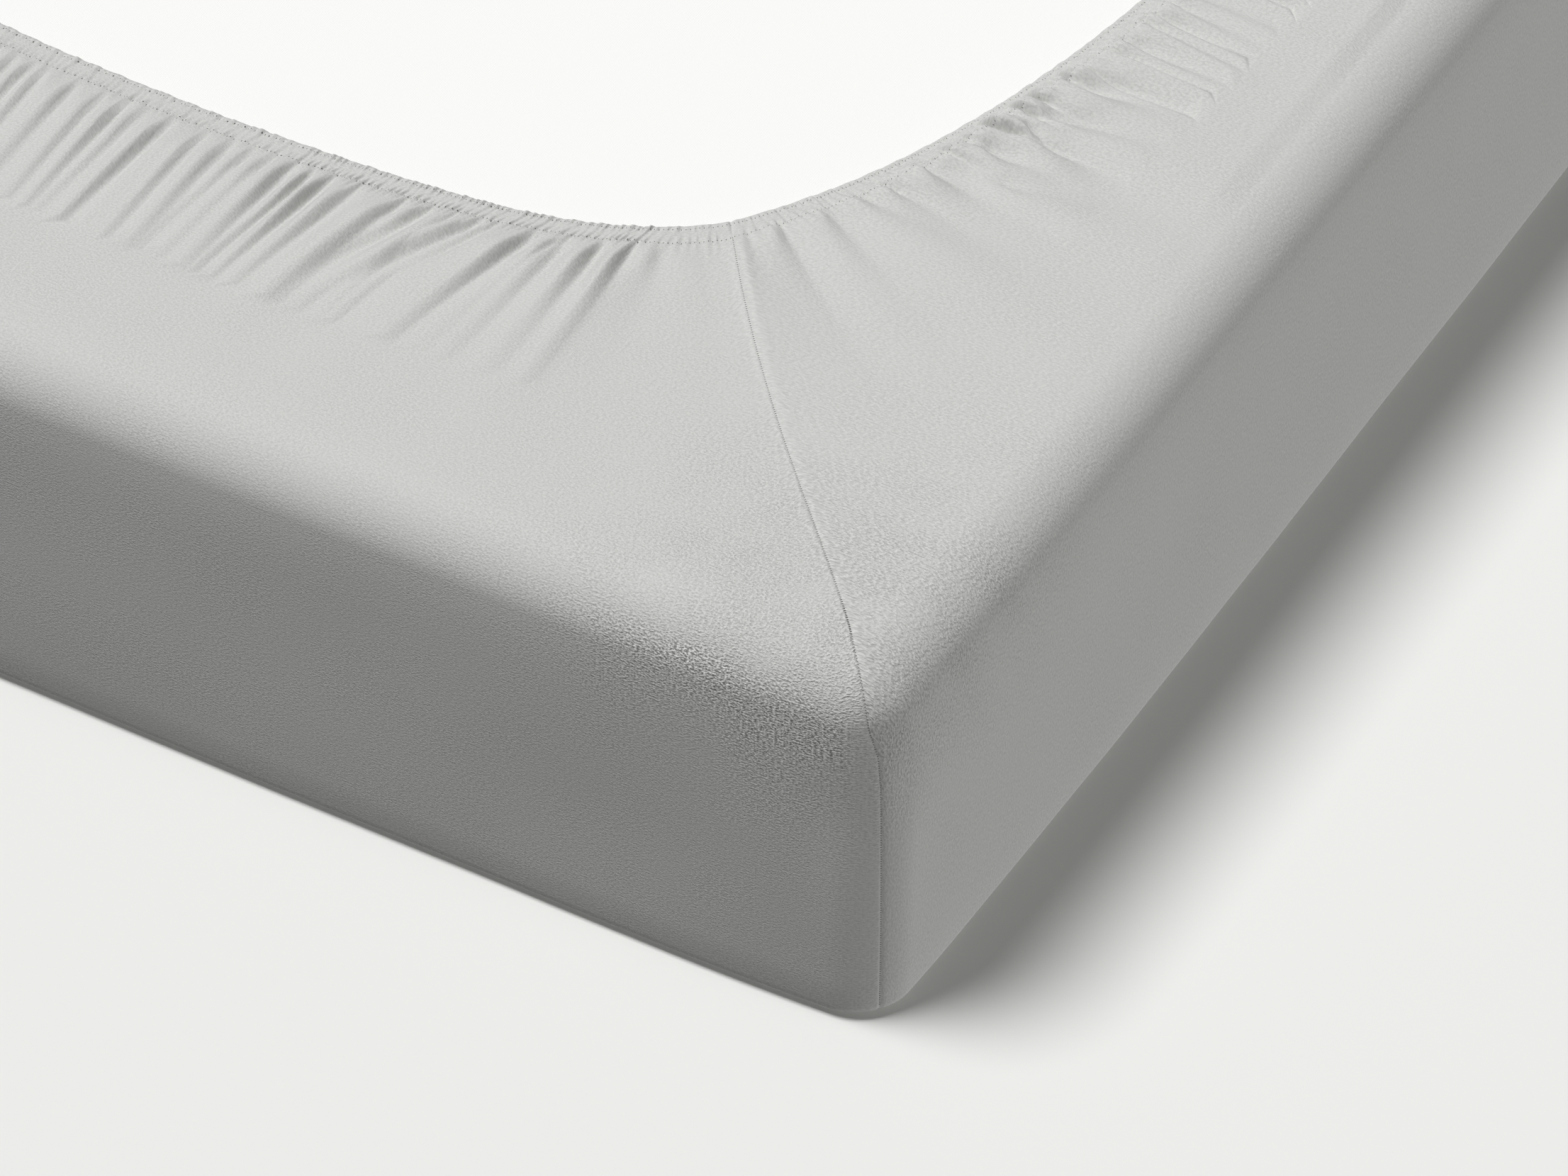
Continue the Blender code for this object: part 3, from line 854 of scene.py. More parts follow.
def across_lap(along):
    """Where the lap's lines start on the hem and end on the outline, and how long they are."""
    hem = PATH.point(along)
    outer = outline_point(PATH.reach(along), UPPER_EDGE_RADIUS, CORNER_RADIUS_ON_LAP)
    return hem, outer, np.linalg.norm(outer - hem, axis=1)


def lap_rings(columns_quadrant, along, outs_of):
    """Rings of the lap, at the distances out from the hem that outs_of gives for the lap's width."""
    hem, outer, lap_width = across_lap(along)
    outs = outs_of(lap_width)
    place = hem + (outer - hem) * (outs / lap_width)[..., None]
    place, off_seam = bowed(place)
    round_hem = PATH.round_hem(columns_quadrant, along)
    tuck = BAND_TUCK * smooth((CLOTH_TUCKED_UNTIL - outs) / (CLOTH_TUCKED_UNTIL - LAP_START))
    rise = gathered_rise(round_hem, along, outs) - tuck
    rise = rise + seam_relief(off_seam) + swell_rise(place[..., 0], place[..., 1])
    points = world(columns_quadrant, place, HEIGHT + rise)
    up = upper_edge_length() + place - outer
    on_lap = np.maximum(place[..., 1] - outer[..., 1], 0)
    return Rings(points, *flat_coordinates(place, up[..., 1], up[..., 0], on_lap))


def fold_zone(lap_width):
    return np.minimum(FOLD_ZONE, FOLD_ZONE_SHARE * lap_width)


def fold_outs(lap_width):
    """Distances of the rings beside the hem, outermost first, closer together towards the hem."""
    shares = np.linspace(1, 0, FOLD_ROWS)[:, None] ** FOLD_ROWS_CROWDING
    return LAP_START + (fold_zone(lap_width) - LAP_START) * shares


def plain_outs(lap_width):
    """Distances of the rings between the outline and the folds, outermost first."""
    shares = np.linspace(1, 0, PLAIN_ROWS + 1)[1:, None]
    inner = fold_zone(lap_width) + ZIP_GAP
    return inner + (lap_width - inner) * shares


class WallRow(NamedTuple):
    """One ring of the wall and its rounded edges: where it runs and faces, and the length of cloth below."""

    inset: float
    height: float
    facing_up: float
    radius: float
    up: float


def wall_rows():
    rows = []
    for turn in np.linspace(-math.pi / 2, 0, LOWER_EDGE_ROWS + 1):
        inset = LOWER_EDGE_RADIUS * (1 - math.cos(turn))
        height = LOWER_EDGE_RADIUS * (1 + math.sin(turn))
        rows.append(WallRow(inset, height, turn, CORNER_RADIUS, LOWER_EDGE_RADIUS * (turn + math.pi / 2)))
    for height in np.linspace(LOWER_EDGE_RADIUS, HEIGHT - UPPER_EDGE_RADIUS, WALL_ROWS + 2)[1:-1]:
        up = LOWER_EDGE_RADIUS * math.pi / 2 + height - LOWER_EDGE_RADIUS
        rows.append(WallRow(0.0, height, 0.0, CORNER_RADIUS, up))
    for turn in np.linspace(0, math.pi / 2, UPPER_EDGE_ROWS + 1):
        done = 1 - math.cos(turn)
        height = HEIGHT - UPPER_EDGE_RADIUS * (1 - math.sin(turn))
        radius = CORNER_RADIUS + (CORNER_RADIUS_ON_LAP - CORNER_RADIUS) * done
        up = upper_edge_length() - UPPER_EDGE_RADIUS * (math.pi / 2 - turn)
        rows.append(WallRow(UPPER_EDGE_RADIUS * done, height, turn, radius, up))
    return rows


def wall_relief(quadrant, reach, row, off_seam):
    """How far the cloth stands out from the plain wall."""
    relief = seam_relief(off_seam) + swell_rise(outline_place(quadrant, reach), row.up)
    relief = relief + np.interp(row.height, *zip(*WALL_BULGE))
    for hollow in WALL_HOLLOWS:
        along = bell(reach - hollow.reach, hollow.half_length)
        relief = relief - hollow.depth * along * bell(row.height - hollow.height, hollow.half_height)
    return relief * (math.cos(row.facing_up) if row.facing_up < 0 else 1.0)


def wall_point(quadrant, reach, row):
    """A ring of the wall: its points, and its places before the cloth's relief."""
    corner = row.inset + row.radius
    lean = np.interp(row.height, *zip(*SEAM_LEAN))
    leaned = reach + lean * bell(reach, SEAM_LEAN_SPREAD)
    place = outline_point(leaned, row.inset, row.radius)
    off_seam = reach * math.pi / 4 * row.radius / corner
    relief = wall_relief(quadrant, reach, row, off_seam)
    turn = outline_turn(leaned, corner)
    outward = np.stack([np.sin(turn), np.cos(turn)], axis=-1)
    moved = place - (relief * math.cos(row.facing_up))[..., None] * outward
    return world(quadrant, moved, row.height + relief * math.sin(row.facing_up)), place


def wall_rings(columns):
    rings = []
    for row in wall_rows():
        ring, place = wall_point(columns.quadrant, columns.place, row)
        rings.append((ring, *flat_coordinates(place, np.full(len(place), row.up), row.up, 0.0)))
    return Rings(*(np.array(part) for part in zip(*rings)))


class Faces:
    """Faces of the sheet, each with the panel of cloth that it belongs to."""

    END, SIDE, BOTTOM = range(3)

    def __init__(self):
        self.corners = []
        self.panels = []

    def add(self, corners, panel):
        self.corners.append([int(corner) for corner in corners])
        self.panels.append(panel)

    def band(self, outer, inner, reach):
        """Quads between two rings with the same columns, the lower or outer ring first."""
        for index in range(len(outer)):
            after = (index + 1) % len(outer)
            panel = self.SIDE if reach[index] + reach[after] > 0 else self.END
            self.add((outer[index], outer[after], inner[after], inner[index]), panel)

    def zip(self, outer, outer_places, inner, inner_places, reach):
        """Triangles between two rings with different columns, each step taken on the ring that lags."""
        round_trip = len(QUADRANTS) * QUARTER
        outer_places = [*outer_places, outer_places[0] + round_trip]
        inner_places = [*inner_places, inner_places[0] + round_trip]
        i = j = 0
        while i < len(outer) or j < len(inner):
            here = (outer[i % len(outer)], inner[j % len(inner)])
            after = (i + 1) % len(outer)
            panel = self.SIDE if reach[i % len(outer)] + reach[after] > 0 else self.END
            if j == len(inner) or (i < len(outer) and outer_places[i + 1] <= inner_places[j + 1]):
                i += 1
                self.add((here[0], outer[i % len(outer)], here[1]), panel)
            else:
                if reach[i % len(outer)] == 0:
                    before = inner_places[j] < outer_places[i]
                    even = outer_places[i] // QUARTER % 2 == 0
                    panel = self.END if before == even else self.SIDE
                j += 1
                self.add((here[0], inner[j % len(inner)], here[1]), panel)


def placed(name, data):
    """An object with this data, in the scene."""
    made = bpy.data.objects.new(name, data)
    bpy.context.scene.collection.objects.link(made)
    return made


def new_object(name, points, faces):
    """A smooth mesh object at the origin, with no material yet."""
    data = bpy.data.meshes.new(name)
    data.from_pydata(points.tolist(), [], faces)
    data.update()
    data.shade_smooth()
    return placed(name, data)


def add_flat_map(made, coordinates):
    """The piece's own map: flat coordinates in metres, across and along the lines of the knit."""
    flat_map = made.data.uv_layers.new(name="flat")
    flat_map.data.foreach_set("uv", np.ascontiguousarray(coordinates, np.float32).ravel())


def make_cloth_mesh():
    """The sheet's outer face from the floor to the hem."""
    walls = wall_columns()
    hems = hem_columns(finer=1)
    parts = [
        wall_rings(walls),
        lap_rings(walls.quadrant, PATH.along(walls.place), plain_outs),
        lap_rings(hems.quadrant, hems.place, fold_outs),
    ]
    faces = Faces()
    rings = []
    first = 0
    for part in parts:
        shape = part.points.shape[:2]
        rings.append(first + np.arange(math.prod(shape)).reshape(shape))
        first += math.prod(shape)
    outer_rings = np.concatenate(rings[:2])
    for lower, upper in zip(outer_rings, outer_rings[1:]):
        faces.band(lower, upper, walls.place)
    outer_places = outline_place(walls.quadrant, walls.place)
    inner_places = outline_place(hems.quadrant, PATH.reach(hems.place))
    faces.zip(outer_rings[-1], outer_places, rings[2][0], inner_places, walls.place)
    for outer, inner in zip(rings[2], rings[2][1:]):
        faces.band(outer, inner, hems.place)
    faces.add(outer_rings[0][::-1], Faces.BOTTOM)

    points, end_flat, side_flat = (
        np.concatenate([getattr(part, name).reshape(-1, size) for part in parts])
        for name, size in (("points", 3), ("end_flat", 2), ("side_flat", 2))
    )
    cloth = new_object("sheet_cloth", points, faces.corners)
    by_panel = np.stack([end_flat, side_flat, points[:, :2]])
    panel_of_corner = np.repeat(faces.panels, [len(corners) for corners in faces.corners])
    add_flat_map(cloth, by_panel[panel_of_corner, np.concatenate(faces.corners)])
    return cloth


def apply_modifiers(made):
    """The object's mesh with its modifiers in it, and none left."""
    graph = bpy.context.evaluated_depsgraph_get()
    mesh = bpy.data.meshes.new_from_object(made.evaluated_get(graph))
    made.modifiers.clear()
    made.data = mesh


# ---------------------------------------------------------------- the hem band


def hem_points(columns, out):
    """World points on the hem's top at a distance out from its edge."""
    along = columns.place
    round_hem = PATH.round_hem(columns.quadrant, along)
    small, broad = pucker_rise(round_hem, along, out)
    at_edge = 1 - smooth(out / FIRST_SEWN_ROW)
    hem, outer, lap_width = across_lap(along)
    moved_out = out + at_edge * (EDGE_SET_BACK + SCALLOP_IN_PLAN * (1 - broad - PUCKER_IN_PLAN * small))
    place, off_seam = bowed(hem + (outer - hem) * (moved_out / lap_width)[:, None])
    rise = gathered_rise(round_hem, along, out) + seam_relief(off_seam) + swell_rise(place[:, 0], place[:, 1])
    return world(columns.quadrant, place, HEIGHT + rise)


def band_rings(columns):
    """Rings round the band's cross-section: over its top to the edge, and back along its underside."""
    top = [out for out, _ in HEM_TOP if out <= SECOND_SEWN_ROW][::-1]
    rings = [hem_points(columns, out) for out in (BAND_ENDS, BAND_MEETS_CLOTH, *top)]
    rings[0][:, 2] -= BAND_TUCK
    rings[1][:, 2] -= BAND_JUST_BELOW
    for out, rise in BAND_UNDERSIDE:
        ring = hem_points(columns, out)
        ring[:, 2] = HEIGHT + rise
        rings.append(ring)
    return np.array(rings)


def make_band_mesh():
    """A flat tube all round, whose top carries the puckers and dips at both sewn rows."""
    columns = hem_columns(finer=2)
    points = band_rings(columns)
    rows, count = points.shape[:2]
    rings = np.arange(rows * count).reshape(rows, count)
    after = np.roll(rings, -1, axis=1)
    below = np.roll(rings, -1, axis=0)
    below_after = np.roll(after, -1, axis=0)
    quads = np.stack([rings, after, below_after, below], axis=-1).reshape(-1, 4)
    band = new_object("hem_band", points.reshape(-1, 3), quads.tolist())
    round_hem = PATH.round_hem(columns.quadrant, columns.place)
    across = np.cumsum([0.0, *np.linalg.norm(np.diff(points[:, 0], axis=0), axis=1)])
    next_round = np.append(round_hem[1:], PATH.round_trip)
    next_across = np.append(across[1:], across[-1] + (across[-1] - across[-2]))
    here_u, here_v = np.meshgrid(round_hem, across)
    next_u, next_v = np.meshgrid(next_round, next_across)
    corners = [(here_u, here_v), (next_u, here_v), (next_u, next_v), (here_u, next_v)]
    add_flat_map(band, np.stack([np.stack(pair, axis=-1) for pair in corners], axis=2))
    return band


# ---------------------------------------------------------------- sewing


def line_object(name, lines, closed):
    """Edges along each line of (points, facing), with the way that the cloth faces as an attribute."""
    points = np.concatenate([line for line, _ in lines])
    facing = np.concatenate([faced for _, faced in lines])
    edges = []
    first = 0
    for line, _ in lines:
        count = len(line)
        ends = range(count) if closed else range(count - 1)
        edges += [(first + end, first + (end + 1) % count) for end in ends]
        first += count
    data = bpy.data.meshes.new(name)
    data.from_pydata(points.tolist(), edges, [])
    attribute = data.attributes.new("facing", "FLOAT_VECTOR", "POINT")
    attribute.data.foreach_set("vector", facing.astype(np.float32).ravel())
    return placed(name, data)


def fill(tree, node, values):
    """Fills a node's inputs: a socket is linked, and anything else is set."""
    for key, value in values.items():
        if isinstance(value, bpy.types.NodeSocket):
            tree.links.new(value, node.inputs[key])
        else:
            node.inputs[key].default_value = value


def add_node(tree, kind, values, output=0, **settings):
    """Adds a node with its properties and inputs, and gives one of its outputs, or all of them for None."""
    made = tree.nodes.new(kind)
    for name, value in settings.items():
        setattr(made, name, value)
    fill(tree, made, values)
    return made.outputs if output is None else made.outputs[output]


STITCH_SIZES = ("Pitch", "Length", "Width", "Turn")
STITCH_COUNTS = ("Sides", "Seed")


def stitch_tree(material):
    """Lays one short thread at every pitch along each line, turned off the line's way and a little uneven."""
    tree = bpy.data.node_groups.new("Stitches along lines", "GeometryNodeTree")
    kinds = {"NodeSocketGeometry": ["Lines"], "NodeSocketFloat": STITCH_SIZES, "NodeSocketInt": STITCH_COUNTS}
    for kind, names in kinds.items():
        for name in names:
            tree.interface.new_socket(name, in_out="INPUT", socket_type=kind)
    tree.interface.new_socket("Stitches", in_out="OUTPUT", socket_type="NodeSocketGeometry")

    add = partial(add_node, tree)
    given = add("NodeGroupInput", {}, None)
    curve = add("GeometryNodeMeshToCurve", {"Mesh": given["Lines"]})
    spaced = add("GeometryNodeResampleCurve", {"Curve": curve, "Length": given["Pitch"]}, mode="LENGTH")
    thread = add("GeometryNodeMeshUVSphere", {"Segments": given["Sides"], "Rings": 4, "Radius": 0.5})
    size = add("ShaderNodeCombineXYZ", {"X": given["Width"], "Y": given["Width"], "Z": given["Length"]})
    stitch = add("GeometryNodeTransform", {"Geometry": thread, "Scale": size})

    facing = add("GeometryNodeInputNamedAttribute", {"Name": "facing"}, "Attribute", data_type="FLOAT_VECTOR")
    tangent = add("GeometryNodeInputTangent", {})
    lying = add("FunctionNodeAxesToRotation", {0: facing, 1: tangent}, primary_axis="X", secondary_axis="Z")
    limits = {"Min": -STITCH_TURN_UNEVEN, "Max": STITCH_TURN_UNEVEN, "Seed": given["Seed"]}
    uneven = add("FunctionNodeRandomValue", limits, None, data_type="FLOAT")
    uneven_turn = next(socket for socket in uneven if socket.enabled)
    turn = add("ShaderNodeMath", {0: given["Turn"], 1: uneven_turn}, operation="ADD")
    turn_round_x = add("ShaderNodeCombineXYZ", {"X": turn})
    turned = add("FunctionNodeRotateRotation", {0: lying, 1: turn_round_x}, rotation_space="LOCAL")
    laid = add("GeometryNodeInstanceOnPoints", {"Points": spaced, "Instance": stitch, "Rotation": turned})
    real = add("GeometryNodeRealizeInstances", {"Geometry": laid})
    finished = add("GeometryNodeSetMaterial", {"Geometry": real, "Material": material})
    add("NodeGroupOutput", {"Stitches": finished}, None)
    return tree


def sewn(name, lines, closed, sizes, tree):
    """The lines' stitches as a plain mesh object."""
    made = line_object(name, lines, closed)
    modifier = made.modifiers.new("Stitches", "NODES")
    modifier.node_group = tree
    for socket in tree.interface.items_tree:
        if socket.name in sizes:
            modifier[socket.identifier] = sizes[socket.name]
    apply_modifiers(made)
    made.data.shade_smooth()
    return made


def facing_up(points):
    """Upward ways, one for each point."""
    return np.tile((0.0, 0.0, 1.0), (len(points), 1))


def hem_lines():
    """Both sewn rows of the hem, on the band."""
    columns = hem_columns(finer=1)
    rows = [hem_points(columns, out) for out in (FIRST_SEWN_ROW, SECOND_SEWN_ROW)]
    return [(points, facing_up(points)) for points in rows]


def seam_line(quadrant):
    """One corner seam from the floor to the hem, and which way the cloth faces along it."""
    at_corner = np.zeros(1)
    here = np.full(1, quadrant)
    signs = QUADRANTS[quadrant]
    points, facing = [], []
    for row in wall_rows()[LOWER_EDGE_ROWS:-1]:
        ring, _ = wall_point(here, at_corner, row)
        points.append(ring[0])
        flat = math.cos(row.facing_up) / math.sqrt(2)
        facing.append((signs[0] * flat, signs[1] * flat, math.sin(row.facing_up)))
    outs = np.linspace(SEAM_RUN, SECOND_SEWN_ROW, SEAM_LINE_STEPS)[:, None]
    lap = lap_rings(here, at_corner, lambda lap_width: outs + 0 * lap_width).points[:, 0]
    return np.concatenate([points, lap]), np.concatenate([facing, facing_up(lap)])


# ---------------------------------------------------------------- finishes


def new_material(name):
    """A material with a plain shader, its node tree, and the shader."""
    material = bpy.data.materials.new(name)
    material.use_nodes = True
    tree = material.node_tree
    return material, tree, tree.nodes["Principled BSDF"]


def knit_opening(tree):
    """How open the knit is, by the distance to the nearest upper corner, and how far on an end's wall."""
    add = partial(add_node, tree)
    here = add("ShaderNodeTexCoord", {}, "Object")
    folded = add("ShaderNodeVectorMath", {0: here}, operation="ABSOLUTE")
    off = add("ShaderNodeVectorMath", {0: folded, 1: (WIDTH / 2, LENGTH / 2, HEIGHT)}, operation="SUBTRACT")
    weighed = add("ShaderNodeVectorMath", {0: off, 1: KNIT_CLOSES_BY}, operation="MULTIPLY")
    away = add("ShaderNodeVectorMath", {0: weighed}, "Value", operation="LENGTH")
    fade = {"From Min": OPEN_KNIT_UNTIL, "From Max": CLOSED_KNIT_FROM, "To Min": 1.0, "To Max": CLOSED_KNIT}
    opening = add("ShaderNodeMapRange", {"Value": away, **fade}, interpolation_type="SMOOTHSTEP")
    towards_end = add("ShaderNodeSeparateXYZ", {"Vector": folded}, "Y")
    wall = {"From Min": LENGTH / 2 - END_WALL_FROM, "From Max": LENGTH / 2 - END_WALL_WHOLE}
    on_end = add("ShaderNodeMapRange", {"Value": towards_end, **wall}, interpolation_type="SMOOTHSTEP")
    return opening, on_end


def jersey_material(settings):
    """Single jersey, circular knitted cotton: fine lines of slanted stitches, matt, with loose fibres, and
    painted shade and highlight that follow its relief.
    """
    material, tree, shader = new_material("grey cotton jersey, circular knitted")
    add = partial(add_node, tree)
    flat = add("ShaderNodeUVMap", {}, uv_map="flat")
    split = add("ShaderNodeSeparateXYZ", {"Vector": flat}, None)
    # Lines that waver a little, as the stitches pull on each other.
    waver = add("ShaderNodeTexNoise", {"Vector": flat, "Scale": WAVERS, "Detail": 2.0})
    by = settings.wale_pitch * WAVER_SHARE
    across = add("ShaderNodeMath", {0: waver, 1: by, 2: split["X"]}, operation="MULTIPLY_ADD")
    wale = add("ShaderNodeMath", {0: across, 1: settings.wale_pitch}, operation="DIVIDE")
    # 0 in the groove between two lines and 0.5 on the crest of a line.
    crest = add("ShaderNodeMath", {0: wale, 1: 0.5}, operation="PINGPONG")
    round_line = add("ShaderNodeMapRange", {"Value": crest, "From Max": 0.5}, interpolation_type="SMOOTHSTEP")
    course = add("ShaderNodeMath", {0: split["Y"], 1: settings.course_pitch}, operation="DIVIDE")
    slanted = add("ShaderNodeMath", {0: crest, 1: STITCH_SLANT, 2: course}, operation="MULTIPLY_ADD")
    stitch_turn = add("ShaderNodeMath", {0: slanted, 1: 2 * math.pi}, operation="MULTIPLY")
    stitch = add("ShaderNodeMath", {0: stitch_turn}, operation="SINE")
    knit = add("ShaderNodeMath", {0: stitch, 1: STITCH_SHARE, 2: round_line}, operation="MULTIPLY_ADD")
    # Loose fibres: short and fine, in no order.
    fibre = add("ShaderNodeTexNoise", {"Vector": flat, "Scale": FIBRES, "Detail": 2.0, "Roughness": 0.6})
    # Grain: stitches of uneven size, seen as flecks that are longer across the lines than along them.
    drawn_out = add("ShaderNodeVectorMath", {0: flat, 1: (GRAIN_SHAPE, 1.0, 1.0)}, operation="MULTIPLY")
    grain = add("ShaderNodeTexNoise", {"Vector": drawn_out, "Scale": GRAINS, "Detail": 1.0, "Roughness": 0.6})
    even = add("ShaderNodeMath", {0: knit, 1: KNIT_SHARE, 2: fibre}, operation="MULTIPLY_ADD")
    relief = add("ShaderNodeMath", {0: grain, 1: GRAIN_SHARE, 2: even}, operation="MULTIPLY_ADD")
    # The knit is drawn open where the cloth is stretched over a corner, and closed and worn smooth elsewhere.
    open_knit, on_end = knit_opening(tree)
    worn = add("ShaderNodeTexNoise", {"Vector": flat, "Scale": WORN_PATCHES, "Detail": 2.0})
    wear = {"From Min": 0.3, "From Max": 0.7, "To Min": 0.6, "To Max": 1.2}
    uneven = add("ShaderNodeMapRange", {"Value": worn, **wear})
    shown = add("ShaderNodeMath", {0: uneven, 1: open_knit}, operation="MULTIPLY")
    depth = add("ShaderNodeMath", {0: shown, 1: settings.knit_depth}, operation="MULTIPLY")
    bump = add("ShaderNodeBump", {"Height": relief, "Distance": depth, "Strength": 1.0})

    # The colour follows the relief: the shade in its low places is painted shade, and the fleck on its high
    # places is light fibres and painted highlight.
    lowest, highest = RELIEF_OF_PAINTED_TONES
    painted_relief_tone = add("ShaderNodeMapRange", {"Value": relief, "From Min": lowest, "From Max": highest})
    # A mix of colours takes them at its inputs 6 and 7, and gives the mixed one at its output 2.
    painted_relief_colour = add("ShaderNodeMix", {0: painted_relief_tone, 6: settings.shade, 7: settings.fleck}, 2, data_type="RGBA")
    # The fibres' tones part most on the walls of the ends, as painted grazing light and shade that picks out
    # the knit there.
    end_wall_painted_light = add("ShaderNodeMath", {0: on_end, 1: shown}, operation="MULTIPLY")
    apart = add("ShaderNodeMath", {0: end_wall_painted_light, 1: PAINTED_GRAZING_LIGHT_ON_END, 2: PAINTED_TONES_WHERE_OPEN}, operation="MULTIPLY_ADD")
    melange_and_painted_shade = add("ShaderNodeMath", {0: shown, 1: apart, 2: PAINTED_TONES_EVERYWHERE}, operation="MULTIPLY_ADD")
    coloured = add("ShaderNodeMix", {0: melange_and_painted_shade, 6: settings.colour, 7: painted_relief_colour}, 2, data_type="RGBA")
    matt = {"Roughness": 0.92, "Specular IOR Level": 0.25, "Sheen Weight": 0.12, "Sheen Roughness": 0.5}
    fill(tree, shader, {"Base Color": coloured, "Normal": bump, **matt})
    return material


def thread_material(settings):
    """Spun polyester sewing thread, twisted: a fine slanted ply, a little smoother than the cloth. Its colour
    is dark as painted shadow of the stitch holes.
    """
    material, tree, shader = new_material("grey polyester thread, spun")
    add = partial(add_node, tree)
    here = add("ShaderNodeTexCoord", {}, "Object")
    ply = add("ShaderNodeTexNoise", {"Vector": here, "Scale": PLY_SCALE, "Detail": 1.0})
    # Painted shade in the grooves between the plies.
    darker = [share * PAINTED_SHADE_BETWEEN_PLIES for share in settings.colour[:3]] + [1.0]
    coloured = add("ShaderNodeMix", {0: ply, 6: darker, 7: settings.colour}, 2, data_type="RGBA")
    bump = add("ShaderNodeBump", {"Height": ply, "Distance": FINE_RELIEF})
    fill(tree, shader, {"Base Color": coloured, "Normal": bump, "Roughness": 0.75})
    return material


def ticking_material(settings):
    """Mattress ticking, a close white weave: almost even, with fine crossing yarns and painted shade between
    them.
    """
    material, tree, shader = new_material("white cotton ticking, woven")
    add = partial(add_node, tree)
    yarns = {"Vector": add("ShaderNodeTexCoord", {}, "Object"), "Scale": YARN_SCALE, "Distortion": 0.6}
    warp = add("ShaderNodeTexWave", yarns, "Fac", bands_direction="X")
    weft = add("ShaderNodeTexWave", yarns, "Fac", bands_direction="Y")
    weave = add("ShaderNodeMath", {0: warp, 1: weft}, operation="MULTIPLY")
    # Painted shade where the weave is low, between the yarns.
    coloured = add("ShaderNodeMix", {0: weave, 6: settings.shade, 7: settings.colour}, 2, data_type="RGBA")
    bump = add("ShaderNodeBump", {"Height": weave, "Distance": FINE_RELIEF})
    fill(tree, shader, {"Base Color": coloured, "Normal": bump, "Roughness": 0.85})
    return material


def floor_material(settings):
    """Studio paper, pale and matt: even, with next to no shine."""
    material, tree, shader = new_material("pale studio paper, matt")
    fill(tree, shader, {"Base Color": settings.floor, "Roughness": 0.95, "Specular IOR Level": 0.1})
    return material


# ---------------------------------------------------------------- operators


class MakeCloth(bpy.types.Operator):
    """Makes the sheet's cloth, with its folds and corner seams, in place of the plain solid"""

    bl_idname = "fitted_sheet.make_cloth"
    bl_label = "Cloth"

    def execute(self, context):
        settings = context.scene.fitted_sheet.cloth
        cloth = make_cloth_mesh()
        cloth.data.materials.append(jersey_material(settings))
        thickness = cloth.modifiers.new("Thickness", "SOLIDIFY")
        thickness.thickness = settings.thickness
        thickness.offset = -1
        apply_modifiers(cloth)
        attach(cloth, "root")
        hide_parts("fitted_sheet")
        return {"FINISHED"}


class MakeHemBand(bpy.types.Operator):
    """Makes the puckered hem that holds the elastic"""

    bl_idname = "fitted_sheet.make_hem_band"
    bl_label = "Hem band"

    def execute(self, context):
        band = make_band_mesh()
        band.data.materials.append(bpy.data.objects["sheet_cloth"].data.materials[0])
        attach(band, "root")
        return {"FINISHED"}


class SewSheet(bpy.types.Operator):
    """Sews the hem's two rows and the four corner seams"""

    bl_idname = "fitted_sheet.sew"
    bl_label = "Sewing"

    def execute(self, context):
        settings = context.scene.fitted_sheet.sewing
        tree = stitch_tree(thread_material(settings))
        thread = {"Width": settings.thread_width, "Sides": settings.sides, "Seed": settings.seed}
        hem = {**thread, "Pitch": settings.hem_pitch, "Length": HEM_STITCH_LENGTH, "Turn": HEM_STITCH_TURN}
        # The corner seams' thread lies wider, so that more of its dark colour, which is painted shadow of the
        # seam's gaps, shows.
        wider = {**thread, "Width": settings.thread_width * SEAM_THREAD_WIDER}
        seam = {**wider, "Pitch": settings.seam_pitch, "Length": SEAM_STITCH_LENGTH, "Turn": SEAM_STITCH_TURN}
        seam_lines = [seam_line(quadrant) for quadrant in range(len(QUADRANTS))]
        pieces = [
            sewn("hem_stitches", hem_lines(), True, hem, tree),
            sewn("corner_seam_stitches", seam_lines, False, seam, tree),
        ]
        for piece in pieces:
            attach(piece, "root")
        return {"FINISHED"}


class CoverMattress(bpy.types.Operator):
    """Gives the mattress its woven cover"""

    bl_idname = "fitted_sheet.cover_mattress"
    bl_label = "Mattress cover"

    def execute(self, context):
        mattress = bpy.data.objects["mattress"]
        mattress.data.materials.clear()
        mattress.data.materials.append(ticking_material(context.scene.fitted_sheet.mattress))
        return {"FINISHED"}


def add_floor(settings):
    half = settings.floor_size / 2
    corners = np.array([(x * half, y * half, -FLOOR_BELOW) for x, y in ((-1, -1), (1, -1), (1, 1), (-1, 1))])
    floor = new_object("floor", corners, [[0, 1, 2, 3]])
    floor.data.materials.append(floor_material(settings))
    # The floor takes light and shadow, but the low light comes from the sky's lower half, through it.
    floor.visible_diffuse = False
    floor.visible_shadow = False


def add_key(settings):
    """One broad soft light from above, a little from the left and the front."""
    light = bpy.data.lights.new("key", "SUN")
    light.energy = settings.key_strength
    light.angle = settings.key_softness
    key = placed("key", light)
    key.rotation_mode = "QUATERNION"
    key.rotation_quaternion = KEY_FROM.to_track_quat("Z", "Y")


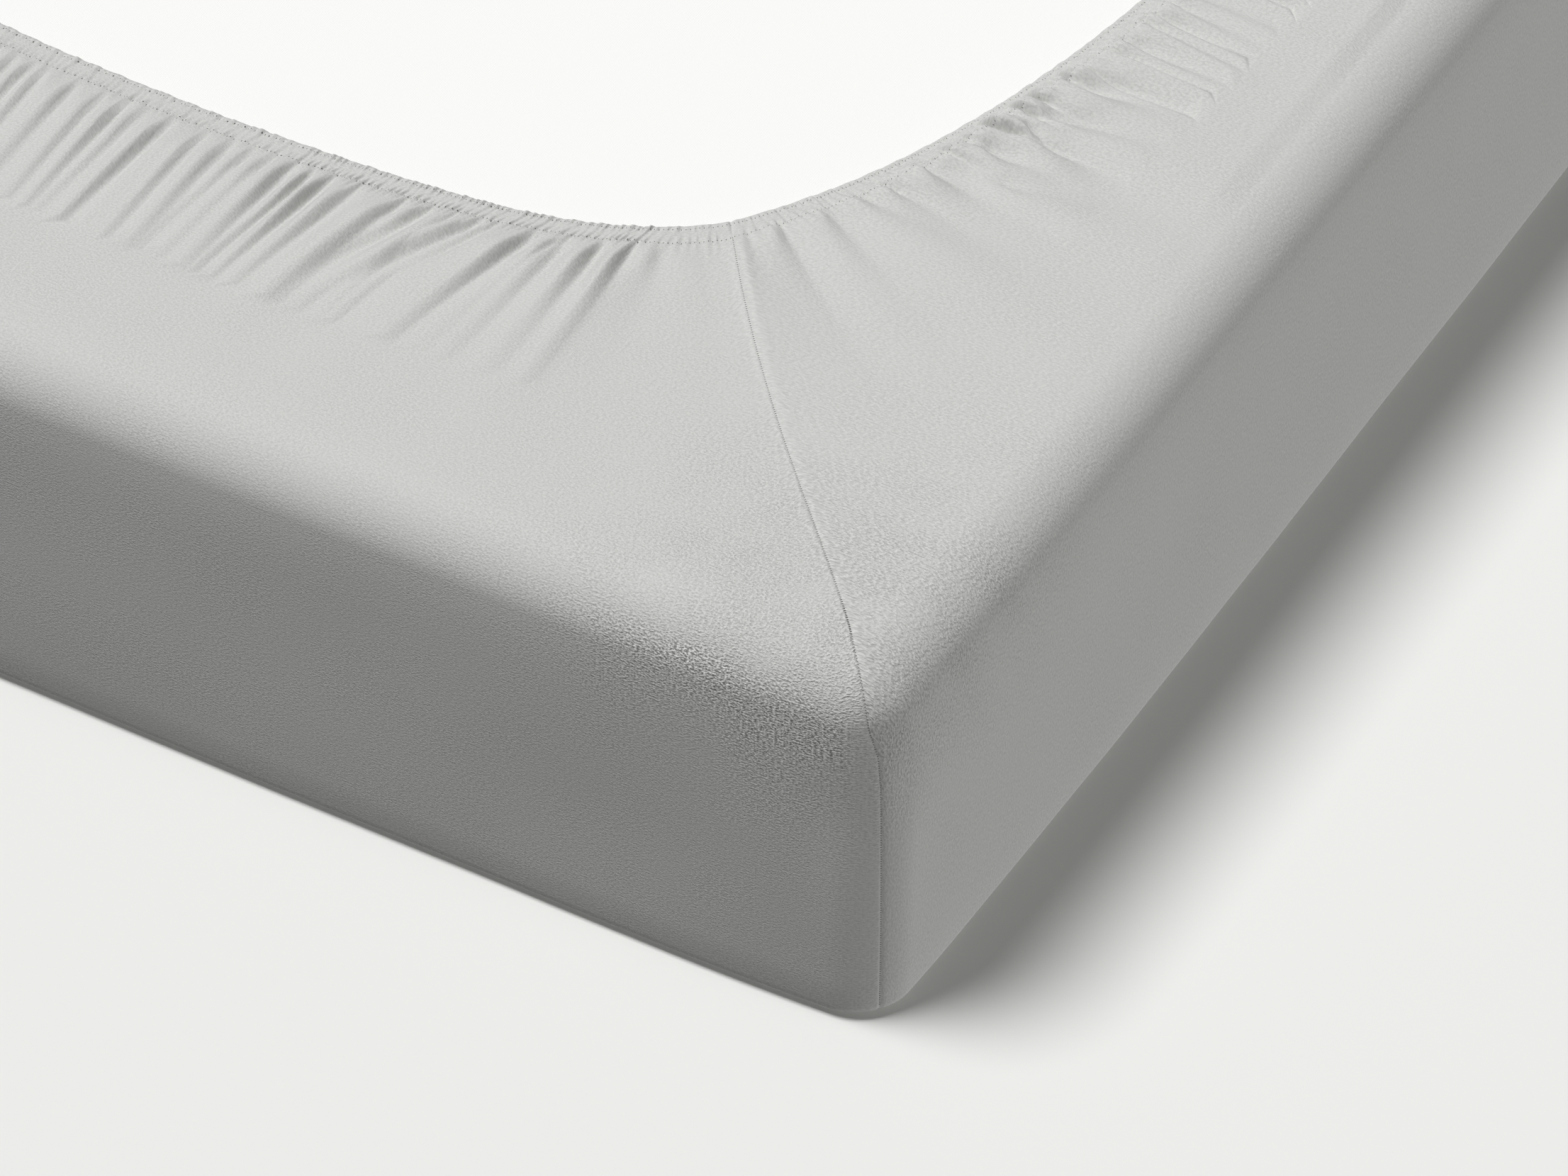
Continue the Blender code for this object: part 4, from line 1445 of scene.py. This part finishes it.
def add_sky(settings):
    """An even dim sky over ground light that is brighter at the right and the back, as over a white sweep."""
    world_light = bpy.data.worlds.new("studio")
    world_light.use_nodes = True
    tree = world_light.node_tree
    add = partial(add_node, tree)
    way = add("ShaderNodeTexCoord", {}, "Generated")
    split = add("ShaderNodeSeparateXYZ", {0: way}, None)
    to_right = add("ShaderNodeMath", {0: split["X"], 1: split["Y"]}, operation="ADD")
    slope = {0: to_right, 1: settings.low_slope, 2: settings.low}
    low = add("ShaderNodeMath", slope, operation="MULTIPLY_ADD")
    not_dark = add("ShaderNodeMath", {0: low, 1: LEAST_LOW_LIGHT}, operation="MAXIMUM")
    horizon = {"From Min": -HORIZON_SOFTNESS, "From Max": HORIZON_SOFTNESS}
    above = add("ShaderNodeMapRange", {"Value": split["Z"], **horizon})
    strength = add("ShaderNodeMix", {0: above, 2: not_dark, 3: settings.sky})
    lit = tree.nodes["Background"]
    fill(tree, lit, {"Color": (1.0, 1.0, 0.99, 1.0), "Strength": strength})
    seen = add("ShaderNodeBackground", {"Color": settings.background, "Strength": 1.0})
    direct = add("ShaderNodeLightPath", {}, "Is Camera Ray")
    both = add("ShaderNodeMixShader", {0: direct, 1: lit.outputs[0], 2: seen})
    fill(tree, tree.nodes["World Output"], {"Surface": both})
    bpy.context.scene.world = world_light


def add_camera():
    """The camera at the photograph's angle to the corner, with a long lens."""
    level = math.cos(CAMERA_ELEVATION)
    across, along = math.sin(CAMERA_AZIMUTH) * level, -math.cos(CAMERA_AZIMUTH) * level
    back = Vector((across, along, math.sin(CAMERA_ELEVATION)))
    lens = bpy.data.cameras.new("camera")
    lens.lens = CAMERA_LENS
    lens.clip_start = 0.05
    lens.clip_end = 60.0
    camera = placed("camera", lens)
    camera.rotation_mode = "QUATERNION"
    camera.location = CAMERA_TARGET + back * CAMERA_DISTANCE
    camera.rotation_quaternion = (-back).to_track_quat("-Z", "Y")
    bpy.context.scene.camera = camera


class SetStage(bpy.types.Operator):
    """Sets the floor, the soft studio light and the camera"""

    bl_idname = "fitted_sheet.set_stage"
    bl_label = "Stage"

    def execute(self, context):
        settings = context.scene.fitted_sheet.stage
        add_floor(settings)
        add_key(settings)
        add_sky(settings)
        add_camera()
        context.scene.view_settings.view_transform = "Standard"
        return {"FINISHED"}


class SheetPanel(bpy.types.Panel):
    """Lists what makes the fitted sheet"""

    bl_idname = "VIEW3D_PT_fitted_sheet"
    bl_label = "Fitted sheet"
    bl_space_type = "VIEW_3D"
    bl_region_type = "UI"
    bl_category = "Fitted sheet"

    def draw(self, context):
        settings = context.scene.fitted_sheet
        groups = (
            (settings.cloth, (MakeCloth, MakeHemBand)),
            (settings.sewing, (SewSheet,)),
            (settings.mattress, (CoverMattress,)),
            (settings.stage, (SetStage,)),
        )
        for group, operators in groups:
            box = self.layout.box()
            for name in group.bl_rna.properties.keys():
                if name not in ("rna_type", "name"):
                    box.prop(group, name)
            for operator in operators:
                box.operator(operator.bl_idname)


OPERATORS = (SetStage, MakeCloth, MakeHemBand, SewSheet, CoverMattress)
GROUPS = (ClothSettings, SewingSettings, MattressSettings, StageSettings, SheetSettings)
CLASSES = (*GROUPS, *OPERATORS, SheetPanel)


def register():
    for made_class in CLASSES:
        bpy.utils.register_class(made_class)
    bpy.types.Scene.fitted_sheet = PointerProperty(type=SheetSettings)


def unregister():
    del bpy.types.Scene.fitted_sheet
    for made_class in reversed(CLASSES):
        bpy.utils.unregister_class(made_class)


def main():
    register()
    bpy.ops.fitted_sheet.set_stage()
    bpy.ops.fitted_sheet.make_cloth()
    bpy.ops.fitted_sheet.make_hem_band()
    bpy.ops.fitted_sheet.sew()
    bpy.ops.fitted_sheet.cover_mattress()


if __name__ == "__main__":
    main()
